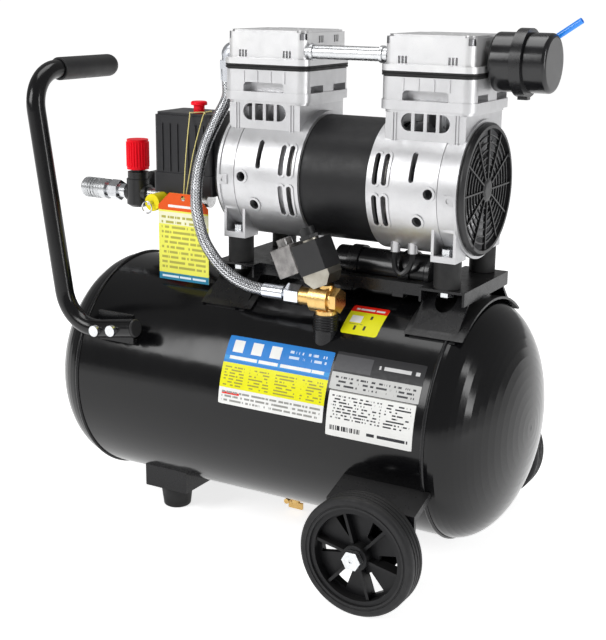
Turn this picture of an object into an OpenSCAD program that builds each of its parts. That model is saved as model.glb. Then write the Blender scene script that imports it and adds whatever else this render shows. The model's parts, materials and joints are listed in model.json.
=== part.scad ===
// Twin cylinder oil free air compressor on a horizontal air receiver.
// X runs along the receiver towards the wheels, the front is -Y and Z is up.
// The origin is on the floor, under the middle of the whole object.

/* [Receiver] */
// Outside radius of the receiver
tank_r = 125; // [105:1:150]
// Length of the receiver's cylinder between its two weld seams
tank_len = 418; // [380:1:500]
// Thickness of the receiver's steel
tank_wall = 2.5; // [2:0.5:4]
// Depth of each dished end
head_depth = 64; // [50:1:80]
// Gap between the floor and the lowest line of the receiver
tank_gap = 29; // [28:1:45]
// Angle of the delivery valve's socket in front of the top line
valve_angle = 42; // [36:1:46]
// Place of the pressure switch's socket along the receiver
switch_x = -130; // [-140:1:-120]

/* [Wheels and feet] */
// Outside radius of a tyre
wheel_r = 60; // [50:1:72]
// Width of a tyre
wheel_w = 26; // [20:1:32]
// Distance of the wheel axis from the receiver's middle
wheel_x = 169; // [140:1:180]
// Gap between the receiver's side and the inner face of a wheel
wheel_gap = 31; // [28:1:40]
// Radius of an axle bolt
axle_r = 5; // [4:0.5:6]
// Distance of the feet from the receiver's middle
foot_x = 131; // [110:1:150]
// Distance of each foot from the centre line
foot_y = 48; // [40:1:60]
// Height of a rubber foot
foot_h = 25; // [22:1:26]

/* [Handle] */
// Radius of the handle's tube
handle_r = 10; // [8:0.5:12]
// Length of the clamped end, to the corner
handle_foot = 89; // [80:1:110]
// Length of the rising part, from corner to corner
handle_rise = 278; // [230:1:330]
// Reach of the hand hold across the receiver
handle_reach = 141; // [120:1:170]
// Radius of both bends, at the middle of the tube
handle_bend = 42; // [34:1:50]
// Lean of the whole handle away from the receiver
handle_lean = 8.4; // [0:0.1:12]
// Thickness of the sleeve on the hand hold
grip_wall = 2.4; // [2:0.1:4]

/* [Motor] */
// Place of the motor's middle along the receiver
motor_x = 75; // [60:1:80]
// Height of the motor's axis above the receiver's top line
motor_rise = 111; // [108:1:124]
// Outside radius of the motor's castings
case_r = 67; // [66:1:74]
// Wall of the motor's castings
case_wall = 5; // [4:0.5:6]
// Half of the length of black stator that shows between the castings
stator_half = 38.5; // [34:0.5:42]
// Distance from the motor's middle to each cylinder's axis
cyl_dx = 90; // [88:1:96]
// Distance from the motor's middle to the rubber mounts
mount_dx = 119; // [117:1:123]
// Distance of the rubber mounts from the centre line
mount_dy = 45; // [40:1:48]
// Radius of a rubber mount
mount_r = 13.5; // [11:0.5:15]
// Height of a rubber mount
mount_h = 27; // [23:1:29]

/* [Cylinders] */
// Size of a cylinder block along the motor
block_x = 100; // [96:1:106]
// Size of a cylinder block across the motor
block_y = 98; // [94:1:104]
// Height of a cylinder block
block_h = 34; // [32:1:41]
// Height of a cylinder head
top_h = 34; // [30:1:41]
// Radius of a cylinder's bore
bore_r = 30; // [25:1:32]
// Travel of a piston from end to end
stroke = 18; // [15:1:20]

/* [Air filter] */
// Radius of the filter's can
filter_r = 28; // [24:1:30]
// Length of the filter's can
filter_len = 57; // [48:1:68]

/* [Pressure switch and outlet] */
// Width of the switch
switch_w = 80; // [68:1:90]
// Depth of the switch
switch_d = 60; // [50:1:66]
// Height of the switch's cover
switch_h = 76; // [65:1:94]
// Height of the outlet line above the receiver's top line
outlet_rise = 71; // [62:1:80]
// Distance from the switch to the regulator
regulator_dx = 83; // [78:1:100]
// Radius of the regulator's knob
knob_r = 13.5; // [11:0.5:16]
// Radius of the coupler's outlet bore
outlet_r = 5.1; // [4.5:0.1:5.6]
// Radius of the braided hose
hose_r = 6.5; // [5.5:0.1:7]

/* [Clearances] */
// Radial clearance of a turning or sliding fit
run_gap = 0.05; // [0.02:0.01:0.1]
// Gap between parts that pass each other
pass_gap = 0.5; // [0.4:0.1:0.8]

/* [Hidden] */
$fn = 64;

bead_r = 2;
tank_z = tank_gap + tank_r;
tank_top = tank_z + tank_r;
wheel_in = tank_r + wheel_gap;
wheel_out = wheel_in + wheel_w;
rim_r = wheel_r - 11;
hub_r = 13;
axle_head = 7;
washer_t = 2;
bracket_t = 4;
clip_t = 4;
bracket_y = wheel_in - washer_t;

motor_z = tank_top + motor_rise;
stator_r = case_r - case_wall;
case_end = cyl_dx + 23.5;
cover_end = case_end + 17.5;
lip_t = 3;
lip_end = cover_end + lip_t;
grille_end = lip_end + 6;
grille_r = case_r - 1.5;
grille_in = grille_r - 5.5;
neck_half = 42;
neck_y = 46;
block_z = motor_z + case_r + 7.5;
block_top = block_z + block_h;
plate_t = 5.5;
plate_top = block_top + plate_t;
top_z = plate_top + top_h;
base_t = 6;
screw_r = 3;
shaft_r = 8;
bearing_r = 16;
bearing_w = 10;
throw_r = stroke / 2;
cam_r = 14;
cam_w = 12;
rod_w = 10;
rod_gap = 0.5;
ring_in = cam_r + 2 * throw_r + rod_gap;
ring_out = ring_in + 4.5;
piston_t = 8;
piston_top = block_top - 1 - throw_r;
fan_x = case_end + 8;
fan_w = 8;

lead_top = motor_z - 64;
lead_y = -36;
lead_at = [58, 77];

mount_top = motor_z - 65;
frame_z = mount_top - mount_h;
frame_t = 2.5;
pad_w = 48;
pad_y = 58;
rail_y = 46;
rail_w = 12;
cap_r = 18.5;
cap_y = -14;
cap_x0 = motor_x - 15;
cap_x1 = motor_x + mount_dx - pad_w / 2 - 7;
cradle_t = 2;
cap_z = motor_z - sqrt(pow(case_r + cap_r + cradle_t + 0.6, 2) - cap_y * cap_y);

port_z = top_z - 20;
bridge_y = -36;
bridge_r = 7;
bridge_in = 5;
neck_r = 9;
filter_z = max(top_z - 24.5, plate_top + neck_r + 0.2);
filter_x = motor_x + cyl_dx + block_x / 2 + 2;

valve_x = 81;
valve_y = -tank_r * sin(valve_angle);
valve_z = tank_z + tank_r * cos(valve_angle);
socket_r = 12;
socket_up = 18;
tee_z = valve_z + 33;
yoke_z = tee_z + 15;
coil_lean = 24;

outlet_z = tank_top + outlet_rise;
switch_z = outlet_z + 9;
cover_z = switch_z + 12;
button_x = switch_x + 11;
button_y = -12;
regulator_x = switch_x - regulator_dx;
coupler_x = regulator_x - 14;
coupler_tip = coupler_x - 63;
relief_x = switch_x - 27;
gauge_r = 21;
sleeve_travel = 5;
relief_travel = 3;
button_travel = 6;

tube_start = [filter_x + 34, filter_r + 1, filter_z + 14];
tube_tilt = 56;
tube_len = 45;
tube_r = 3;
tube_end = tube_start[0] + tube_len * sin(tube_tilt) + tube_r * cos(tube_tilt);

// The receiver's middle stands beside the origin, which halves the overall length
tank_x = -(coupler_tip + tube_end) / 2;

grip_r = handle_r + grip_wall;
handle_y = -(tank_r + 3);
handle_x = -tank_len / 2 + 84;
handle_z = tank_z + 76;

tag_x0 = switch_x - 12;
tag_x1 = switch_x + 53;
tag_x = (tag_x0 + tag_x1) / 2;
tag_z0 = tank_top - 10;
tag_z1 = tank_top + 86;
tag_y = -58;
tag_t = 0.6;
tag_hole_z = tag_z1 - 5;
string_r = 0.6;

module place() translate([tank_x, 0, 0]) children();

module along_x(x0, x1, y = 0, z = 0) translate([x0, y, z]) rotate([0, 90, 0]) children();

module xcyl(r, x0, x1, y = 0, z = 0) along_x(x0, x1, y, z) cylinder(r = r, h = x1 - x0);

module xhex(across, x0, x1, y = 0, z = 0)
    along_x(x0, x1, y, z) cylinder(r = across / sqrt(3), h = x1 - x0, $fn = 6);

module ycyl(r, y0, y1, x = 0, z = 0)
    translate([x, y1, z]) rotate([90, 0, 0]) cylinder(r = r, h = y1 - y0);

module zcyl(r, z0, z1, x = 0, y = 0) translate([x, y, z0]) cylinder(r = r, h = z1 - z0);

module block(x0, x1, y0, y1, z0, z1) translate([x0, y0, z0]) cube([x1 - x0, y1 - y0, z1 - z0]);

// A rectangle with true round corners, centred
module round_rect(x, y, r) {
    square([x - 2 * r, y], center = true);
    square([x, y - 2 * r], center = true);
    for (i = [-1, 1], j = [-1, 1]) translate([i * (x / 2 - r), j * (y / 2 - r)]) circle(r);
}

module round_box(x, y, r, z0, z1) translate([0, 0, z0]) linear_extrude(z1 - z0) round_rect(x, y, r);

// A slot with round ends, standing upright in the XZ plane and cut along Y
module y_slot(x, z0, z1, w, y0, y1) {
    ycyl(w / 2, y0, y1, x, z0 + w / 2);
    ycyl(w / 2, y0, y1, x, z1 - w / 2);
    block(x - w / 2, x + w / 2, y0, y1, z0 + w / 2, z1 - w / 2);
}

// A shape turned about the X axis from a profile given as [radius, distance along X]
module turned_x(x = 0, y = 0, z = 0)
    translate([x, y, z]) rotate([0, 90, 0]) rotate_extrude($fn = 96) children();

// Both ends of the motor: children are drawn for the right end, measured from the motor's middle
module motor_end(side)
    translate([motor_x, 0, motor_z]) mirror([side < 0 ? 1 : 0, 0, 0]) children();

// A smooth curve through hand-picked points, and a tube swept along it
function bend(p, i, t) =
    let (a = p[max(i - 1, 0)], b = p[i], c = p[i + 1], d = p[min(i + 2, len(p) - 1)])
    0.5 * (2 * b + (c - a) * t + (2 * a - 5 * b + 4 * c - d) * t * t
        + (3 * b - a - 3 * c + d) * t * t * t);
function curve(p, n) = concat([for (i = [0 : len(p) - 2], k = [0 : n - 1]) bend(p, i, k / n)],
    [p[len(p) - 1]]);
function unit(v) = v / norm(v);
function heading(c, i, first, last) =
    i == 0 ? first : i == len(c) - 1 ? last : unit(c[i + 1] - c[i - 1]);

module swept_tube(points, r, first, last, sides, steps) {
    c = curve(points, steps);
    rings = [for (i = [0 : len(c) - 1])
        let (t = heading(c, i, first, last), u = unit(cross(t, [0, 1, 0.05])), v = cross(t, u))
        for (k = [0 : sides - 1]) c[i] + r * (cos(360 * k / sides) * u + sin(360 * k / sides) * v)];
    walls = [for (i = [0 : len(c) - 2], k = [0 : sides - 1])
        let (a = i * sides + k, b = i * sides + (k + 1) % sides) [a, a + sides, b + sides, b]];
    end = (len(c) - 1) * sides;
    polyhedron(rings, concat(walls, [[for (k = [0 : sides - 1]) k],
        [for (k = [sides - 1 : -1 : 0]) end + k]]));
}

// ---- Receiver

module tank_bore() xcyl(tank_r - tank_wall, -tank_len / 2, tank_len / 2, 0, tank_z);

module socket_solids(r) {
    zcyl(r, valve_z - 20, valve_z + socket_up, valve_x, valve_y);
    zcyl(r, tank_top - 8, tank_top + 6, switch_x, 0);
    zcyl(r, tank_gap - 3, tank_gap + 8, 0, 0);
}

module tank_shell() place() color("#17181a") difference() {
    xcyl(tank_r, -tank_len / 2, tank_len / 2, 0, tank_z);
    tank_bore();
    socket_solids(socket_r);
}

// Half of an ellipse, as a wall between an outer and an inner curve
function dish(r, d) = [for (a = [0 : 5 : 90]) [r * cos(a), d * sin(a)]];

module dished_end() turned_x() polygon(concat(dish(tank_r, head_depth),
    [for (i = [18 : -1 : 0]) dish(tank_r - tank_wall, head_depth - tank_wall)[i]]));

module tank_heads() place() color("#17181a") for (m = [0, 1]) mirror([m, 0, 0])
    translate([tank_len / 2, 0, tank_z]) dished_end();

module sockets() difference() {
    socket_solids(socket_r);
    for (dz = [-1 : 1]) translate([0, 0, dz]) socket_solids(socket_r - 4);
}

module weld_beads() for (s = [-1, 1]) turned_x(s * tank_len / 2, 0, tank_z) intersection() {
    translate([tank_r, 0]) circle(bead_r);
    translate([tank_r, -bead_r - 1]) square(2 * bead_r + 2);
}

drain_z = tank_gap - 3;

module drain_valve() place() color("#b99a4e") difference() {
    union() {
        zcyl(socket_r - 4, drain_z, drain_z + 8);
        translate([0, 0, drain_z - 9]) cylinder(r = 10, h = 9, $fn = 6);
        ycyl(3, -22, -6, 0, drain_z - 4.5);
        zcyl(5, drain_z - 13, drain_z - 9);
    }
    zcyl(3 + run_gap, drain_z - 14, drain_z - 6);
    zcyl(2, drain_z - 7, drain_z + 9);
}

module drain_knob() place() color("#c4a55c") {
    zcyl(3, drain_z - 14, drain_z - 7);
    block(-9, 9, -1.5, 1.5, drain_z - 21, drain_z - 13 - pass_gap);
}

// ---- Brackets, feet and wheels

module foot_channel() {
    h = tank_z;
    difference() {
        block(-28, 28, -foot_y - 22, foot_y + 22, foot_h, h);
        block(-25, 25, -foot_y - 19, foot_y + 19, foot_h + 3, h + 1);
        xcyl(tank_r, -40, 40, 0, tank_z);
        for (s = [-1, 1]) zcyl(4, foot_h - 1, foot_h + 4, 0, s * foot_y);
    }
}

// A bent strip that leaves the receiver's side and stands behind the wheel
module wheel_strip() {
    top_z0 = tank_z - tank_r * 0.3;
    y1 = bracket_y;
    difference() {
        intersection() {
            translate([wheel_x - 46, 0, 0]) rotate([90, 0, 90]) linear_extrude(94)
                polygon([[-tank_r * 0.9, top_z0], [-y1, top_z0 - 14], [-y1, wheel_r - 24],
                    [-y1 + bracket_t, wheel_r - 24], [-y1 + bracket_t, top_z0 - 20],
                    [-tank_r * 0.9, top_z0 - 8]]);
            translate([0, 1, 0]) rotate([90, 0, 0]) linear_extrude(2 * tank_r)
                polygon([[wheel_x - 46, tank_z], [wheel_x + 48, tank_z], [wheel_x + 48, wheel_r + 14],
                    [wheel_x + 20, wheel_r - 24], [wheel_x - 20, wheel_r - 24],
                    [wheel_x - 46, wheel_r + 14]]);
        }
        xcyl(tank_r, 0, tank_len, 0, tank_z);
        ycyl(axle_r, -y1 - 1, -y1 + bracket_t + 1, wheel_x, wheel_r);
    }
}

// A plate behind the handle's clamped end, with a shelf down to the receiver
module handle_clip() {
    y = handle_y + handle_r;
    x0 = handle_x - 56;
    x1 = handle_x - 10;
    difference() {
        union() {
            block(x0, x1, y, y + clip_t, handle_z - 22, handle_z + 10);
            block(x0, x1, y, -tank_r * 0.7, handle_z - 22, handle_z - 22 + clip_t);
        }
        xcyl(tank_r, -tank_len / 2, tank_len / 2, 0, tank_z);
        clip_bolts() circle(3);
    }
}

module clip_bolts() for (dx = [-44, -22])
    translate([handle_x + dx, handle_y + 20, handle_z + dx * sin(handle_lean)])
        rotate([90, 0, 0]) linear_extrude(34) children();

module tank_weldments() place() color("#1b1c1e") {
    sockets();
    weld_beads();
    translate([-foot_x, 0, 0]) foot_channel();
    wheel_strip();
    mirror([0, 1, 0]) wheel_strip();
    handle_clip();
}

module rubber_feet() place() color("#26272a") for (s = [-1, 1]) translate([-foot_x, s * foot_y, 0])
    difference() {
        rotate_extrude() polygon([[0, 0], [14, 0], [15.5, 1.5], [18, foot_h - 3], [18, foot_h],
            [4, foot_h], [4, foot_h + 3], [0, foot_h + 3]]);
        translate([0, 0, -1]) cylinder(r = 5, h = 8);
    }

module at_wheel(side) translate([wheel_x, 0, wheel_r]) mirror([0, side, 0]) children();

// The profiles of a wheel hold [radius, distance outwards from the inner face]
module wheel_ring() rotate([90, 0, 0]) rotate_extrude($fn = 96) children();

module wheel_hub() color("#1e1f21") translate([0, -wheel_in, 0]) difference() {
    union() {
        wheel_ring() polygon([[rim_r - 5, 2], [rim_r, 2], [rim_r, wheel_w - 2], [rim_r - 5, wheel_w - 2]]);
        wheel_ring() polygon([[0, 0], [hub_r, 0], [hub_r, wheel_w], [0, wheel_w]]);
        wheel_ring() translate([hub_r - 1, wheel_w / 2 - 5]) square([rim_r - hub_r - 3, 6]);
        for (a = [0 : 60 : 300]) rotate([0, a + 12, 0])
            block(hub_r - 2, rim_r - 3, -wheel_w + 4, -wheel_w / 2, -1.5, 1.5);
    }
    for (a = [0 : 60 : 300]) rotate([0, a, 0]) rotate([90, 0, 0]) linear_extrude(wheel_w)
        polygon([[rim_r - 8, -7], [rim_r - 8, 7], [hub_r + 7, 3], [hub_r + 7, -3]]);
    ycyl(axle_r + run_gap, -wheel_w - 1, 1);
}

module tyre() color("#202123") translate([0, -wheel_in, 0]) wheel_ring() difference() {
    union() {
        translate([rim_r, 0]) square([wheel_r - rim_r - 4, wheel_w]);
        translate([rim_r, 4]) square([wheel_r - rim_r, wheel_w - 8]);
        for (s = [4, wheel_w - 4]) translate([wheel_r - 4, s]) circle(4);
    }
    translate([rim_r - 1, 2]) square([1, wheel_w - 4]);
    for (k = [-1 : 1]) translate([wheel_r, wheel_w / 2 + 5 * k]) circle(1.2);
    translate([rim_r + 3, wheel_w]) circle(0.9);
}

module wheel_hub_front() place() at_wheel(0) wheel_hub();
module wheel_hub_back() place() at_wheel(1) wheel_hub();
module tyre_front() place() at_wheel(0) tyre();
module tyre_back() place() at_wheel(1) tyre();

module axle_set() {
    y1 = wheel_out + pass_gap;
    difference() {
        union() {
            ycyl(axle_r, -y1, -bracket_y + bracket_t + 12);
            translate([0, -y1, 0]) rotate([90, 0, 0]) cylinder(r = 10, h = axle_head, $fn = 6);
        }
        ycyl(2, -y1 - axle_head - 1, -y1 - axle_head + 1);
    }
    difference() {
        ycyl(10, -wheel_in + pass_gap, -bracket_y);
        ycyl(axle_r, -wheel_in, -bracket_y + 1);
    }
    difference() {
        translate([0, -bracket_y + bracket_t + 8, 0]) rotate([90, 0, 0])
            cylinder(r = 9.5, h = 8, $fn = 6);
        ycyl(axle_r, -bracket_y, -bracket_y + bracket_t + 13);
    }
}

// ---- Frame between the receiver and the motor

module pad_legs() rotate([90, 0, 90]) linear_extrude(pad_w, center = true) {
    for (m = [0, 1]) mirror([m, 0]) {
        translate([0, frame_z - frame_t]) square([pad_y, frame_t]);
        polygon([[33, frame_z - 1], [36, frame_z - 1], [78, tank_top - 27], [73, tank_top - 27]]);
    }
}

// Room for the receiver's weld bead under the pad that reaches over it
module bead_groove() {
    x = tank_len / 2 - motor_x - mount_dx;
    xcyl(tank_r + bead_r + 0.1, x - bead_r - 0.5, x + bead_r + 0.5, 0, tank_z);
}

module saddle_pad() {
    difference() {
        xcyl(tank_r + frame_t, -pad_w / 2 - 6, pad_w / 2 + 8, 0, tank_z);
        xcyl(tank_r, -pad_w / 2 - 7, pad_w / 2 + 9, 0, tank_z);
        block(-60, 60, -2 * tank_r, 2 * tank_r, 0, tank_top - 24);
        bead_groove();
    }
    difference() {
        union() {
            pad_legs();
            for (s = [-1, 1]) translate([s * (pad_w / 2 - frame_t / 2), 0, 0])
                block(-frame_t / 2, frame_t / 2, -pad_y, pad_y, frame_z - 14, frame_z - frame_t);
        }
        xcyl(tank_r, -60, 60, 0, tank_z);
        bead_groove();
        for (s = [-1, 1]) zcyl(4, frame_z - frame_t - 1, frame_z + 1, 0, s * mount_dy);
        for (s = [-1, 1]) zcyl(11, frame_z - 60, frame_z - frame_t, 0, s * mount_dy);
    }
}

module frame_rail() {
    x0 = motor_x - mount_dx + pad_w / 2;
    x1 = motor_x + mount_dx - pad_w / 2;
    block(x0, x1, -rail_y, -rail_y + rail_w, frame_z - frame_t, frame_z);
    block(x0, x1, -rail_y, -rail_y + frame_t, frame_z - 12, frame_z);
}

module cap_cradle(x) {
    strap_z = cap_z - cap_r - 0.5;
    difference() {
        union() {
            xcyl(cap_r + cradle_t, x - 6, x + 6, cap_y, cap_z);
            block(x - 6, x + 6, -rail_y + 1, rail_y - 1, strap_z - cradle_t, strap_z);
        }
        xcyl(cap_r, x - 7, x + 7, cap_y, cap_z);
    }
    for (s = [-1, 1])
        block(x - 6, x + 6, s * (rail_y - 2) - 1, s * (rail_y - 2) + 1, strap_z - 1, frame_z - 1);
}

module mount_frame() place() color("#1b1c1e") {
    for (s = [-1, 1]) translate([motor_x + s * mount_dx, 0, 0]) saddle_pad();
    frame_rail();
    mirror([0, 1, 0]) frame_rail();
    cap_cradle(cap_x0 + 22);
    cap_cradle(cap_x1 - 22);
}

module at_mounts() for (i = [-1, 1], j = [-1, 1])
    translate([motor_x + i * mount_dx, j * mount_dy, 0]) children();

module rubber_mounts() place() color("#2b2c2f") at_mounts() difference() {
    translate([0, 0, frame_z]) cylinder(r = mount_r, h = mount_h);
    zcyl(4, frame_z - 1, mount_top + 1);
}

module mount_bolts() at_mounts() {
    zcyl(4, frame_z - 9, mount_top + 6);
    for (z = [frame_z - frame_t - 6, mount_top + 6]) difference() {
        translate([0, 0, z]) cylinder(r = 7.5, h = 6, $fn = 6);
        zcyl(4, z - 1, mount_top + 6);
    }
}

module fasteners() place() color("#c9ccd0") {
    for (side = [0, 1]) at_wheel(side) axle_set();
    mount_bolts();
    clip_fasteners();
}

module clip_fasteners() for (dx = [-44, -22])
    translate([handle_x + dx, handle_y, handle_z + dx * sin(handle_lean)]) {
        ycyl(3, -handle_r - 2, handle_r + 9);
        difference() {
            ycyl(6, -handle_r - 5, -handle_r);
            ycyl(3, -handle_r - 2, -handle_r + 1);
        }
        translate([0, handle_r + clip_t + 5, 0]) rotate([90, 0, 0]) difference() {
            cylinder(r = 5.5, h = 5, $fn = 6);
            translate([0, 0, -1]) cylinder(r = 3, h = 7);
        }
    }

// ---- Handle

// The handle's own frame: clamped end along X, then up, then across the receiver
module handle_frame() translate([handle_x, handle_y, handle_z]) rotate([0, -handle_lean, 0])
    translate([-handle_foot, 0, 0]) children();

module handle_path() handle_frame() {
    b = handle_bend;
    along_x(b, handle_foot) linear_extrude(handle_foot - b) children();
    translate([b, 0, b]) rotate([-90, 0, 0]) rotate([0, 0, 90]) rotate_extrude(angle = 90)
        translate([b, 0]) children();
    translate([0, 0, b]) linear_extrude(handle_rise - 2 * b) children();
    translate([0, b, handle_rise - b]) rotate([0, 0, 90]) rotate([90, 0, 0]) rotate([0, 0, 90])
        rotate_extrude(angle = 90) translate([b, 0]) children();
    translate([0, b, handle_rise]) rotate([-90, 0, 0]) linear_extrude(handle_reach - b - grip_r)
        children();
}

module handle_tube() place() color("#1a1b1d") difference() {
    handle_path() circle(handle_r);
    handle_path() circle(handle_r - 1.5);
    clip_bolts() circle(3);
}

// The sleeve on the hand hold and the plug in the clamped end
module handle_grip() place() color("#2a2b2e") handle_frame() {
    translate([0, handle_bend + 3, handle_rise]) rotate([-90, 0, 0]) {
        l = handle_reach - handle_bend - 3 - grip_r;
        difference() {
            union() {
                cylinder(r = grip_r, h = l);
                translate([0, 0, l]) intersection() {
                    sphere(r = grip_r);
                    cylinder(r = grip_r, h = grip_r);
                }
            }
            translate([0, 0, -1]) cylinder(r = handle_r, h = l + 1);
        }
    }
    translate([handle_foot, 0, 0]) rotate([0, 90, 0]) {
        translate([0, 0, -10]) cylinder(r = handle_r - 1.5, h = 10);
        cylinder(r1 = handle_r, r2 = handle_r - 1.2, h = 2.5);
    }
}

// ---- Motor castings, drawn for the right end

slot_cols = [stator_half + 9.5, stator_half + 19.5];
slot_w = 5.6;
vent_r = 5;
rim_w = 2.4;
rim_up = 1.2;

// The vents of one side; grow widens them all, for the rims that stand round them
module case_cuts(s, grow = 0) {
    y0 = s * 85 - 50;
    y1 = s * 85 + 50;
    for (x = slot_cols) {
        y_slot(x, 6 - grow, 36 + grow, slot_w + 2 * grow, y0, y1);
        y_slot(x, -35 - grow, -4 + grow, slot_w + 2 * grow, y0, y1);
    }
    ycyl(vent_r + grow, y0, y1, cyl_dx + 15, 1.5);
    ycyl(vent_r + grow, y0, y1, cyl_dx + 2, -27);
}

module vent_rims() intersection() {
    xcyl(case_r + rim_up, stator_half, case_end);
    for (s = [-1, 1]) case_cuts(s, rim_w);
}

module neck_window(s) difference() {
    union() {
        for (e = [-1, 1]) ycyl(8.5, s * 46 - 8, s * 46 + 8, cyl_dx + e * 17, case_r - 1);
        block(cyl_dx - 17, cyl_dx + 17, s * 46 - 8, s * 46 + 8, case_r - 9.5, case_r + 7.5);
    }
    for (k = [-1 : 1]) block(cyl_dx + 13 * k - 1.75, cyl_dx + 13 * k + 1.75, s * 46 - 9, s * 46 + 9,
        case_r - 11, case_r + 9);
}

module case_neck() difference() {
    union() {
        block(cyl_dx - neck_half, cyl_dx + neck_half, -neck_y, neck_y, 0, case_r + 7.5);
        for (s = [-1, 1], e = [-34, -31, 31, 34])
            block(cyl_dx + e - 0.8, cyl_dx + e + 0.8, s * neck_y - 1.2, s * neck_y + 1.2,
                case_r - 24, case_r + 7.5);
    }
    xcyl(case_r, case_end, cyl_dx + neck_half + 1);
    xcyl(case_r + 1.5, cover_end, lip_end);
    block(cyl_dx - neck_half + 6, case_end, -neck_y + 5, neck_y - 5, 0, case_r + 8);
    block(case_end - 1, cyl_dx + neck_half - 5, -neck_y + 5, neck_y - 5, case_r + 3, case_r + 8);
    for (s = [-1, 1]) neck_window(s);
}

module motor_case(side) color("#cfd1d4") {
    difference() {
        union() {
            xcyl(case_r, stator_half, case_end);
            vent_rims();
            case_neck();
            if (side > 0) for (x = lead_at) zcyl(5, lead_top - motor_z, -50, x, lead_y);
        }
        xcyl(stator_r, stator_half - 1, case_end + 1);
        block(cyl_dx - neck_half + 6, case_end, -neck_y + 5, neck_y - 5, 0, case_r + 8);
        for (s = [-1, 1]) {
            case_cuts(s);
            y_slot(cyl_dx - 4, 11, 39, slot_w, s * 85 - 35, s * 85 + 35);
        }
    }
    difference() {
        xcyl(stator_r, stator_half + 20.5, stator_half + 26.5);
        xcyl(bearing_r, stator_half + 20, stator_half + 30);
        for (a = [30 : 60 : 330]) rotate([a, 0, 0]) xcyl(9, stator_half + 20, stator_half + 27, 0, 40);
    }
    difference() {
        xcyl(bearing_r + 5, stator_half + 18, stator_half + 28);
        xcyl(bearing_r, stator_half + 17, stator_half + 29);
    }
}

// A foot under the end cover, open at its outer side
module case_leg(s) {
    w = mount_r - 0.5;
    y0 = s * mount_dy - w;
    y1 = s * mount_dy + w;
    z0 = mount_top - motor_z;
    difference() {
        union() {
            block(mount_dx - w, mount_dx + w, y0, y1, z0, z0 + 6);
            for (x = [mount_dx - w, mount_dx + w - 3]) block(x, x + 3, y0, y1, z0, -30);
            block(mount_dx - w, mount_dx + w, s < 0 ? y1 - 3 : y0, s < 0 ? y1 : y0 + 3, z0, -30);
        }
        xcyl(case_r, 0, case_end);
        xcyl(case_r - 1, case_end, lip_end);
    }
}

module end_cover() color("#c9cbce") {
    difference() {
        union() {
            xcyl(case_r - 0.8, case_end, case_end + 1);
            xcyl(case_r, case_end + 1, cover_end);
            xcyl(case_r + 1.5, cover_end, lip_end);
            for (s = [-1, 1]) case_leg(s);
            for (s = [-1, 1]) block(cover_end - 9, cover_end, s * case_r - 1.5, s * case_r + 1.5, -8, 2);
        }
        for (s = [-1, 1]) ycyl(2.6, s * (case_r + 3) - 2.5, s * (case_r + 3) + 2.5, cover_end - 4.5, -3);
        xcyl(stator_r, case_end + 5, lip_end + 1);
        xcyl(bearing_r, case_end - 1, case_end + 6);
        for (a = [0 : 60 : 300]) rotate([a, 0, 0]) xcyl(10, case_end - 1, case_end + 6, 0, 40);
        for (s = [-1, 1]) {
            zcyl(4, mount_top - motor_z - 1, mount_top - motor_z + 7, mount_dx, s * mount_dy);
            zcyl(8.6, mount_top - motor_z + 6, mount_top - motor_z + 12.8, mount_dx, s * mount_dy);
        }
    }
    difference() {
        xcyl(bearing_r + 5, case_end - 4, case_end + 6);
        xcyl(bearing_r, case_end - 5, case_end + 7);
    }
}

module motor_case_left() place() motor_end(-1) motor_case(-1);
module motor_case_right() place() motor_end(1) motor_case(1);
module end_cover_left() place() motor_end(-1) end_cover();
module end_cover_right() place() motor_end(1) end_cover();

module fan_grille() {
    turned_x(lip_end) polygon([[grille_in, 0], [grille_r, 0], [grille_r, 3], [grille_r - 2.5, 6],
        [grille_in, 6]]);
    for (r = [18 : 7 : 53]) difference() {
        xcyl(r + 0.7, lip_end + 2, lip_end + 4);
        xcyl(r - 0.7, lip_end, grille_end);
    }
    turned_x(lip_end) polygon([[0, 2], [12, 2], [12, 4.5], [8, 5.8], [0, 5.8]]);
    for (a = [0 : 30 : 330]) rotate([a, 0, 0])
        block(lip_end + 2, grille_end - 1, -0.8, 0.8, 11, grille_in + 1);
}

module fan_grilles() place() color("#1f2022") for (s = [-1, 1]) motor_end(s) fan_grille();

// ---- Inside the motor

stack_half = stator_half + 6;
rotor_r = 34;

module stator_core() place() color("#1c1d1f") motor_end(1) difference() {
    union() {
        xcyl(stator_r, -stack_half, stack_half);
        xcyl(stator_r + 1.5, -stator_half, stator_half);
    }
    xcyl(rotor_r + pass_gap, -stack_half - 1, stack_half + 1);
}

module stator_windings() place() color("#a8622e") for (s = [-1, 1]) motor_end(s) difference() {
    xcyl(56, stack_half, stack_half + 10);
    xcyl(39, stack_half - 1, stack_half + 11);
}

module shaft_bearings() place() color("#b4b7bb") for (s = [-1, 1]) motor_end(s)
    for (x = [stator_half + 18, case_end - 4]) difference() {
        xcyl(bearing_r, x, x + bearing_w);
        xcyl(shaft_r + run_gap, x - 1, x + bearing_w + 1);
    }

module cam(s) xcyl(cam_r, cyl_dx - cam_w / 2, cyl_dx + cam_w / 2, s * throw_r, 0);

module crankshaft() place() color("#8d9094") {
    motor_end(1) xcyl(shaft_r, -fan_x - fan_w, fan_x + fan_w);
    for (s = [-1, 1]) motor_end(s) {
        difference() {
            cam(s);
            xcyl(shaft_r, cyl_dx - 20, cyl_dx + 20);
        }
        difference() {
            xcyl(28, cyl_dx - 17, cyl_dx - 11);
            block(cyl_dx - 18, cyl_dx - 10, s > 0 ? -3 : -40, s > 0 ? 40 : 3, -40, 40);
            xcyl(shaft_r, cyl_dx - 20, cyl_dx + 20);
        }
    }
}

module rotor() place() color("#9fa2a6") motor_end(1) {
    difference() {
        xcyl(rotor_r, -stack_half, stack_half);
        xcyl(shaft_r, -stack_half - 1, stack_half + 1);
    }
    for (s = [-1, 1]) translate([s * (stack_half + 3), 0, 0]) difference() {
        xcyl(rotor_r - 2, -3, 3);
        xcyl(rotor_r - 10, -4, 4);
    }
}

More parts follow.
